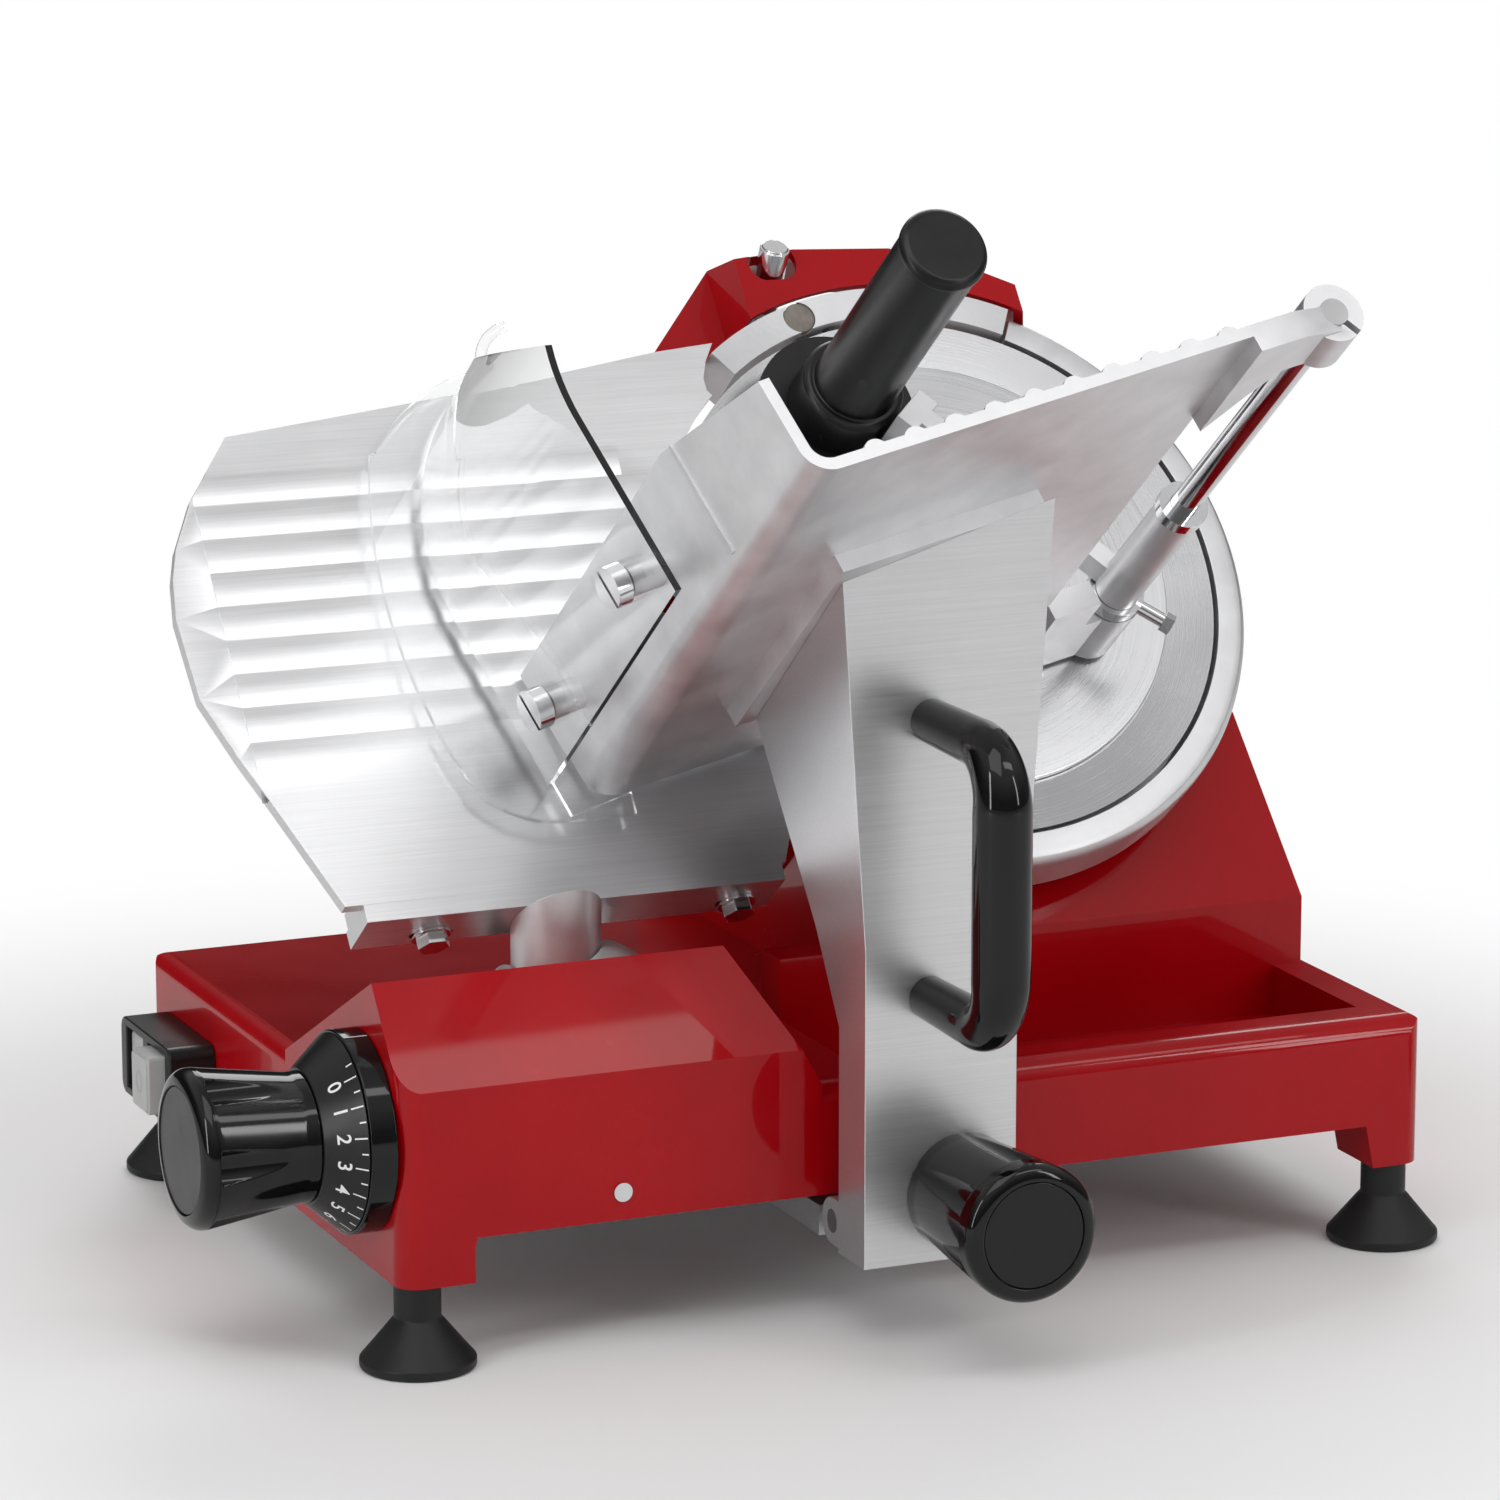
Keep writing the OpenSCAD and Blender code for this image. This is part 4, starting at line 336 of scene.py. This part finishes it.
def soften(node, width, material=None):
    """A copy of a CAD node with its corners merged, its flat faces joined and its edges rounded."""
    merge_within, flat_within = 2 * MICRON, math.radians(0.4)
    bevelled_from, sharp_from = math.radians(28), math.radians(35)
    source = NODES[node]
    mesh = source.data.copy()
    work = bmesh.new()
    work.from_mesh(mesh)
    bmesh.ops.remove_doubles(work, verts=work.verts, dist=merge_within)
    bmesh.ops.dissolve_limit(work, angle_limit=flat_within, verts=work.verts, edges=work.edges)
    sharp = [e for e in work.edges if len(e.link_faces) == 2 and e.calc_face_angle(0) > bevelled_from]
    bmesh.ops.bevel(work, geom=sharp, offset=width, offset_type="OFFSET", segments=3, profile=0.5,
                    affect="EDGES", clamp_overlap=True)
    bmesh.ops.triangulate(work, faces=[f for f in work.faces if len(f.verts) > 4])
    work.to_mesh(mesh)
    work.free()
    mesh.shade_smooth()
    mesh.set_sharp_from_angle(angle=sharp_from)
    mesh.materials.clear()
    mesh.materials.append(material or FINISHES[SLOT_OF[node]])
    piece = linked(node + "_cast", mesh)
    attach(piece, source["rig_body"])
    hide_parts(node)
    weighted = piece.modifiers.new("even_shading", "WEIGHTED_NORMAL")
    weighted.keep_sharp = True
    return piece


def trim_wave(piece):
    """Draws the first wave's outer end in to the gauge plate's slanted edge.

    The edge rises from the corner (u, v) in the blade's frame: u = corner_u + run * (v - corner_v).
    """
    corner_u, corner_v, run = -331.9 * MM, 63.7 * MM, 0.756
    reach, inset = 0.4 * MM, 0.3 * MM
    points = corners_of(piece.data)
    from_centre = points - np.array(BLADE_CENTRE)
    u = from_centre[:, 0]
    v = from_centre @ np.array((0, math.cos(BLADE_LEAN), math.sin(BLADE_LEAN)))
    edge = corner_u + run * (v - corner_v)
    past = (v > corner_v) & (u < edge - reach)
    points[past, 0] = BLADE_CENTRE[0] + edge[past] + inset
    piece.data.vertices.foreach_set("co", points.ravel())
    piece.data.update()


# Knobs

KNOB_FLUTES = 6


def knob_radius(length, root, rim, lip, stop, phase):
    """Radius of a fluted knob: a cone that widens to a rim with a round lip, cut by grooves along its axle.

    A groove's wall is the near side of a circle whose centre lies outside the rim, so the groove fades out
    where the cone grows thinner, and it is closed by a steep wall at the height stop.
    """
    groove = 0.27 * rim
    centre = rim + 0.45 * groove
    pitch = 2 * np.pi / KNOB_FLUTES
    cone_start, cone_run = 0.1 * length, 0.75 * length
    wall_run, wall_rise = 2.2 * MM, 0.5 * rim
    fade = 0.35 * MM

    def radius(angle, height):
        body = root + (rim - root) * np.clip((height - cone_start) / cone_run, 0, 1)
        left = np.clip(length - height, 0, lip)
        rounded = rim - lip + np.sqrt(np.maximum(lip**2 - (lip - left) ** 2, 0))
        body = np.where(height > length - lip, rounded, body)
        turn = (angle - phase + pitch / 2) % pitch - pitch / 2
        reach = centre * np.sin(turn)
        wall = centre * np.cos(turn) - np.sqrt(np.maximum(groove**2 - reach**2, 0))
        wall = np.where(np.abs(reach) < groove, wall, 2 * rim)
        wall = wall + wall_rise * np.clip((height - stop) / wall_run, 0, 1) ** 1.5
        mixed = np.clip(0.5 + 0.5 * (body - wall) / fade, 0, 1)
        return body + (wall - body) * mixed - fade * mixed * (1 - mixed)

    return radius


def knob(name, node, cap, direction, root, stop, phase, stud=(0, 0)):
    """A fluted knob whose end is let in for its cap, on a stud that is (length, radius) where it has one."""
    turns = 480
    low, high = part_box(node)
    cap_low, cap_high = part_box(cap)
    d = Vector(direction)
    stud_length, stud_radius = stud
    whole = abs((high - low).dot(d))
    length = whole - stud_length
    base = (low + high) / 2 - d * (whole / 2 - stud_length)

    def radius_of(size):
        return max(c for c, a in zip(size, d) if abs(a) < 0.5) / 2

    def plain_rings(rows):
        return [np.full((1, turns), r) for _, r in rows]

    rim = radius_of(high - low)
    recess = radius_of(cap_high - cap_low) + 0.25 * MM
    recess_floor = max((p - base).dot(d) for p in (cap_low, cap_high)) - 2 * MM
    lip = 0.19 * rim
    foot = 0.6 * MM
    foot_turn = np.linspace(0, np.pi / 2, 4)
    heights = np.concatenate([
        foot * (1 - np.cos(foot_turn)),
        np.linspace(1 * MM, stop - 0.5 * MM, 40),
        stop + np.linspace(0, 2.4 * MM, 14),
        np.linspace(stop + 2.8 * MM, length - lip - 0.4 * MM, 4),
        length - lip * np.cos(np.linspace(0.02, np.pi / 2, 16)),
    ])
    radii = knob_radius(length, root, rim, lip, stop, phase)(full_turn(turns)[None], heights[:, None])
    radii[:4] -= foot * (1 - np.sin(foot_turn))[:, None]

    # The knob stands this far off the face behind it
    off_face = 0.08 * MM
    below = [(-stud_length, stud_radius), (off_face, stud_radius)] if stud_length else []
    above = [(length, recess + 0.5 * MM), (length - 0.12 * MM, recess + 0.15 * MM), (length - 0.5 * MM, recess),
             (recess_floor, recess)]
    heights = np.concatenate([[h for h, _ in below], np.maximum(heights, off_face), [h for h, _ in above]])
    radii = np.concatenate([*plain_rings(below), radii, *plain_rings(above)])
    return round_piece(name, node, base, direction, heights, radii)


# Bar handle

def bar_handle():
    """A tube swept along two stubs, two bends and a straight grip; its radius grows from stub to grip."""
    low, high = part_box("arm_handle")
    stub, shoulder, bend, grip = 9 * MM, 10 * MM, 11 * MM, 12 * MM
    turn = 22 * MM
    turns = 64
    x = (low.x + high.x) / 2
    y_wall, y_grip = high.y, low.y + grip
    z_low, z_high = low.z + bend, high.z - bend
    reach = y_wall - y_grip - turn
    quarter = np.linspace(0, np.pi / 2, 18)
    stub_steps, grip_steps = np.linspace(0, 1, 14), np.linspace(0, 1, 22)
    path = [(y_wall - t * reach, z_low) for t in stub_steps]
    path += [(y_grip + turn - turn * math.sin(q), z_low + turn - turn * math.cos(q)) for q in quarter[1:]]
    path += [(y_grip, z_low + turn + t * (z_high - z_low - 2 * turn)) for t in grip_steps[1:]]
    path += [(y_grip + turn - turn * math.cos(q), z_high - turn + turn * math.sin(q)) for q in quarter[1:]]
    path += [(y_grip + turn + t * reach, z_high) for t in stub_steps[1:]]
    path = np.array(path)
    step = np.gradient(path, axis=0)
    step /= np.linalg.norm(step, axis=1)[:, None]
    along = np.concatenate([[0], np.cumsum(np.linalg.norm(np.diff(path, axis=0), axis=1))])
    from_end = np.minimum(along, along[-1] - along)
    stations = [0, reach, reach + 0.8 * turn * np.pi / 2, reach + 1.6 * turn]
    radius = np.interp(from_end, stations, [stub, shoulder, bend + 0.5 * MM, grip])[:, None]
    a = full_turn(turns)
    out = np.stack([-step[:, 1], step[:, 0]], -1)
    x_of = x + radius * np.cos(a)
    y_of = path[:, :1] + radius * np.sin(a) * out[:, :1]
    z_of = path[:, 1:] + radius * np.sin(a) * out[:, 1:]
    points = np.stack([x_of, y_of, z_of], -1).reshape(-1, 3)
    rows = len(path)
    faces = grid_faces(rows, turns).tolist()
    faces += [list(range(turns))[::-1], [(rows - 1) * turns + k for k in range(turns)]]
    piece = mesh_object("bar_handle", points, faces, body_of("arm_handle"), "black_phenolic")
    work = bmesh.new()
    work.from_mesh(piece.data)
    bmesh.ops.recalc_face_normals(work, faces=work.faces)
    work.to_mesh(piece.data)
    work.free()
    piece.data.set_sharp_from_angle(angle=math.radians(40))
    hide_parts("arm_handle")
    return piece


# Printed marks

PRINT_LIFT = 0.06 * MM


def print_on(name, node, points, faces, material=PRINT):
    """A printed mark on a node: flat faces that ride with it."""
    return mesh_object(name, points, faces, body_of(node), "pale_plastic", material, False)


def cone_points(slant, sideways, angle):
    """Points printed on the scale's cone.

    slant runs down the side from the outer edge, and sideways runs round it from an angle that is measured
    upwards from the viewer's side.
    """
    inner = 28 * MM
    low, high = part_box("thickness_scale")
    middle = (low + high) / 2
    outer = (high.z - low.z) / 2
    slope = math.atan2(outer - inner, high.x - low.x)
    skin = outer - slant * math.sin(slope)
    radius = skin + PRINT_LIFT * math.cos(slope)
    x = high.x - slant * math.cos(slope) - PRINT_LIFT * math.sin(slope)
    turn = angle - sideways / skin
    return np.stack([x, middle.y - radius * np.cos(turn), middle.z + radius * np.sin(turn)], -1)


def flat_text(words, size):
    """The corners and faces of a word, upright in its own plane and centred."""
    curve = bpy.data.curves.new("word", "FONT")
    curve.body, curve.size, curve.align_x, curve.align_y = words, size, "CENTER", "CENTER"
    curve.offset = 0.012 * size
    holder = linked("word", curve)
    mesh = holder.to_mesh()
    points = corners_of(mesh)[:, :2]
    faces = [list(p.vertices) for p in mesh.polygons]
    holder.to_mesh_clear()
    bpy.data.objects.remove(holder)
    bpy.data.curves.remove(curve)
    return points, faces


def printed_dial():
    """Numbers and ticks on the thickness scale, one number for each millimetre of the gauge's travel."""
    numbers = 14
    per_mm, first = math.radians(18.75), math.radians(49)
    tick_start, tick_half, long_tick, short_tick = 0.7 * MM, 0.32 * MM, 5.6 * MM, 2.8 * MM
    digit_size, digit_middle = 8.6 * MM, 11.2 * MM
    points, faces = [], []

    def add(p, f):
        start = sum(len(q) for q in points)
        points.append(p)
        faces.extend([[start + k for k in face] for face in f])

    for k in range(2 * numbers + 1):
        end = tick_start + (long_tick if k % 2 else short_tick)
        corners = np.array([(s, w) for s in (tick_start, end) for w in (-tick_half, tick_half)])
        add(cone_points(corners[:, 0], corners[:, 1], first - (k - 1) * per_mm / 2), [[0, 1, 3, 2]])
    for number in range(numbers):
        flat, f = flat_text(str(number), digit_size)
        add(cone_points(digit_middle - flat[:, 1], flat[:, 0], first - number * per_mm), f)
    return print_on("scale_numbers", "thickness_scale", np.concatenate(points), faces)


def index_line():
    """The white line across the top of the seat ring that the scale is read against."""
    half_width, lift, place = 0.35 * MM, 0.05 * MM, math.radians(80)
    low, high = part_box("dial_ring")
    middle = (low + high) / 2
    radius = (high.z - low.z) / 2 + lift
    angle = place + np.array([-1, 1]) * half_width / radius
    y = middle.y - radius * np.cos(angle)
    z = middle.z + radius * np.sin(angle)
    ends = (low.x + 0.8 * MM, high.x - 0.5 * MM)
    points = [(x, y[k], z[k]) for x in ends for k in (0, 1)]
    return print_on("index_line", "dial_ring", points, [[0, 1, 3, 2]])


def bar_mark():
    """The start button's upright bar."""
    half, tall = 0.8 * MM, 5 * MM
    return [(-half, -tall), (half, -tall), (half, tall), (-half, tall)], [[0, 3, 2, 1]]


def ring_mark():
    """The stop button's ring, a little narrower than it is tall."""
    outer, inner, squeeze, count = 5 * MM, 3.9 * MM, 0.8, 48
    flat = [(r * squeeze * math.cos(t), r * math.sin(t)) for r in (outer, inner) for t in full_turn(count)]
    return flat, [[k, count + k, count + (k + 1) % count, (k + 1) % count] for k in range(count)]


def button_marks():
    """A bar on the start button and a ring on the stop button."""
    for node, (flat, faces) in (("start_button", bar_mark()), ("stop_button", ring_mark())):
        low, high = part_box(node)
        middle = (low + high) / 2
        points = [(low.x - PRINT_LIFT, middle.y + y, middle.z + z) for y, z in flat]
        print_on(node + "_mark", node, points, faces, FINISHES["dull_steel"])


# Studio

def seen_directly(tree):
    """One for the camera's own rays and for those that came through clear plastic, or else zero."""
    ray = tree.nodes.new("ShaderNodeLightPath").outputs
    return maths(tree, "MAXIMUM", ray["Is Camera Ray"], ray["Is Transmission Ray"])


def world():
    """White for the camera and through the guard; soft and even for diffuse light; a studio for reflections.

    The studio's brightness follows the ray's height: dark at the horizon, most of all behind the machine,
    and bright high up, where the soft boxes hang.
    """
    even_light, towards_camera, behind_machine = 0.47, 1.0, 0.15
    made = bpy.data.worlds.new("studio")
    bpy.context.scene.world = made
    made.use_nodes = True
    tree = made.node_tree
    tree.nodes.clear()
    way = put(tree, "ShaderNodeSeparateXYZ", Vector=tree.nodes.new("ShaderNodeTexCoord").outputs["Generated"])
    ramp = put(tree, "ShaderNodeValToRGB", Fac=way.outputs["Z"])
    stops = ramp.color_ramp.elements
    stops[0].position, stops[0].color = 0.0, (0.14, 0.14, 0.14, 1)
    stops[1].position, stops[1].color = 0.95, (0.5, 0.5, 0.5, 1)
    for height, level in ((0.18, 0.17), (0.45, 0.45), (0.62, 0.68), (0.85, 0.66)):
        stops.new(height).color = (level, level, level, 1)
    behind = put(tree, "ShaderNodeMapRange", Value=way.outputs["Y"],
                 i1=0.1, i2=0.6, i3=towards_camera, i4=behind_machine)
    above = put(tree, "ShaderNodeMapRange", Value=way.outputs["Z"], i1=0.28, i2=0.55, i3=0.0, i4=1.0)
    dimmed = maths(tree, "MAXIMUM", behind.outputs[0], above.outputs[0])
    room = put(tree, "ShaderNodeBackground", Color=ramp.outputs[0], Strength=dimmed)
    even = put(tree, "ShaderNodeBackground", Color=(1, 1, 1, 1), Strength=even_light)
    white = put(tree, "ShaderNodeBackground", Color=(1, 1, 1, 1), Strength=1.0)
    glossy = tree.nodes.new("ShaderNodeLightPath").outputs["Is Glossy Ray"]
    light = put(tree, "ShaderNodeMixShader", i0=glossy, i1=even.outputs[0], i2=room.outputs[0])
    both = put(tree, "ShaderNodeMixShader", i0=seen_directly(tree), i1=light.outputs[0], i2=white.outputs[0])
    out = tree.nodes.new("ShaderNodeOutputWorld")
    tree.links.new(both.outputs[0], out.inputs[0])


def lamp(name, place, target, size, power, along_x=False):
    """A soft box that faces a target; along_x turns its first side as near to the X axis as it can lie."""
    data = bpy.data.lights.new(name, "AREA")
    data.shape, data.size, data.size_y, data.energy = "RECTANGLE", size[0], size[1], power
    made = linked(name, data)
    made.location = place
    away = (Vector(place) - Vector(target)).normalized()
    if along_x:
        along = (Vector((1, 0, 0)) - away * away.x).normalized()
        made.rotation_euler = Matrix((along, away.cross(along), away)).transposed().to_euler()
    else:
        made.rotation_euler = away.to_track_quat("Z", "Y").to_euler()


def floor():
    """A pale floor that turns into plain white for the camera away from the machine."""
    half, fade_from, fade_to = 6.0, 0.35, 0.75
    mesh = bpy.data.meshes.new("floor")
    corners = [(-half, -half, 0), (half, -half, 0), (half, half, 0), (-half, half, 0)]
    mesh.from_pydata(corners, [], [(0, 1, 2, 3)])
    material = bpy.data.materials.new("floor_white")
    material.use_nodes = True
    tree = material.node_tree
    shader = tree.nodes["Principled BSDF"]
    shader.inputs["Base Color"].default_value = (0.9, 0.9, 0.9, 1)
    shader.inputs["Roughness"].default_value = 0.7
    far = vector_maths(tree, "LENGTH", i0=tree.nodes.new("ShaderNodeTexCoord").outputs["Object"])["Value"]
    fade = put(tree, "ShaderNodeMapRange", {"interpolation_type": "SMOOTHSTEP"}, Value=far,
               i1=fade_from, i2=fade_to, i3=0.0, i4=1.0)
    glow = put(tree, "ShaderNodeEmission", Color=(1, 1, 1, 1), Strength=1.0)
    share = maths(tree, "MULTIPLY", seen_directly(tree), fade.outputs[0])
    both = put(tree, "ShaderNodeMixShader", i0=share, i1=shader.outputs[0], i2=glow.outputs[0])
    tree.links.new(both.outputs[0], tree.nodes["Material Output"].inputs[0])
    mesh.materials.append(material)
    made = linked("floor", mesh)


def camera():
    """The camera that was fitted to the photograph."""
    data = bpy.data.cameras.new("camera")
    data.sensor_width, data.lens, data.clip_end = 36, 152.9, 50
    made = linked("camera", data)
    made.location = (-1.0410, -2.4284, 0.8158)
    aim = Vector((0.0199, 0.0349, 0.2066)) - made.location
    made.rotation_euler = aim.to_track_quat("-Z", "Y").to_euler()
    bpy.context.scene.camera = made


# Everything in order

for node, piece in NODES.items():
    piece.data.materials.clear()
    piece.data.materials.append(FINISHES[SLOT_OF[node]])

# Width of each softened node's rounded edges, in millimetres
SOFT_EDGES = {
    "base_body": 3.0, "sharpener_cover": 1.2, "carriage_arm": 1.2, "carriage_tray": 0.9, "gauge_plate": 0.8,
    "gauge_bracket": 0.6, "blade_ring": 0.6, "switch_housing": 0.8, "start_button": 0.9, "stop_button": 0.9,
    "pusher_disc": 0.6, "dial_ring": 0.9, "sharpener_body": 0.8, "hand_guard": 0.5, "gauge_post": 0.6,
    "post_collar": 0.8, "pusher_handle_cap": 0.6, "belt_cover": 1.0, "guard_nuts": 0.3, "gauge_bolts": 0.3,
    "thickness_knob_cap": 0.4, "lock_knob_cap": 0.4, "pusher_handle": 0.8, "rubber_feet": 0.6,
    "thickness_scale": 0.4, "carriage_slider": 0.6, "sharpener_button": 0.5, "pusher_arm": 0.6,
    "pusher_slider": 0.4, "blade_cover": 0.5, "tie_rod_knob": 0.8, "cord_gland": 0.6,
}
OWN_FINISH = {"sharpener_body": ROUGH_CAST, "blade_cover": MACHINED}
softened = {node: soften(node, width * MM, OWN_FINISH.get(node)) for node, width in SOFT_EDGES.items()}
trim_wave(softened["gauge_plate"])

knob("dial_knob", "thickness_knob", "thickness_knob_cap", (-1, 0, 0), root=27 * MM, stop=44 * MM, phase=0)
knob("arm_knob", "lock_knob", "lock_knob_cap", (0, -1, 0), root=25 * MM, stop=55.5 * MM,
     phase=math.pi / KNOB_FLUTES, stud=(24 * MM, 4 * MM))
bar_handle()
printed_dial()
index_line()
button_marks()

world()

# Each lamp: its place, what it faces and its size, in metres, and its power in watts
lamp("key", (-0.7, -0.8, 2.1), (0, 0, 0.2), (1.5, 1.5), 12)
lamp("slope", (0.63, -1.13, 1.7), (-0.12, -0.111, 0.13), (1.0, 0.3), 3.4, along_x=True)
lamp("strip_left", (-2.2, -0.9, 0.9), (0, 0, 0.2), (0.22, 1.6), 12)
lamp("strip_right", (1.5, -2.1, 1.1), (0, 0, 0.25), (0.2, 1.5), 9)
lamp("back", (0.9, 1.8, 1.5), (0, 0, 0.25), (1.4, 0.8), 12)

floor()
camera()
bpy.context.scene.view_settings.view_transform = "Standard"
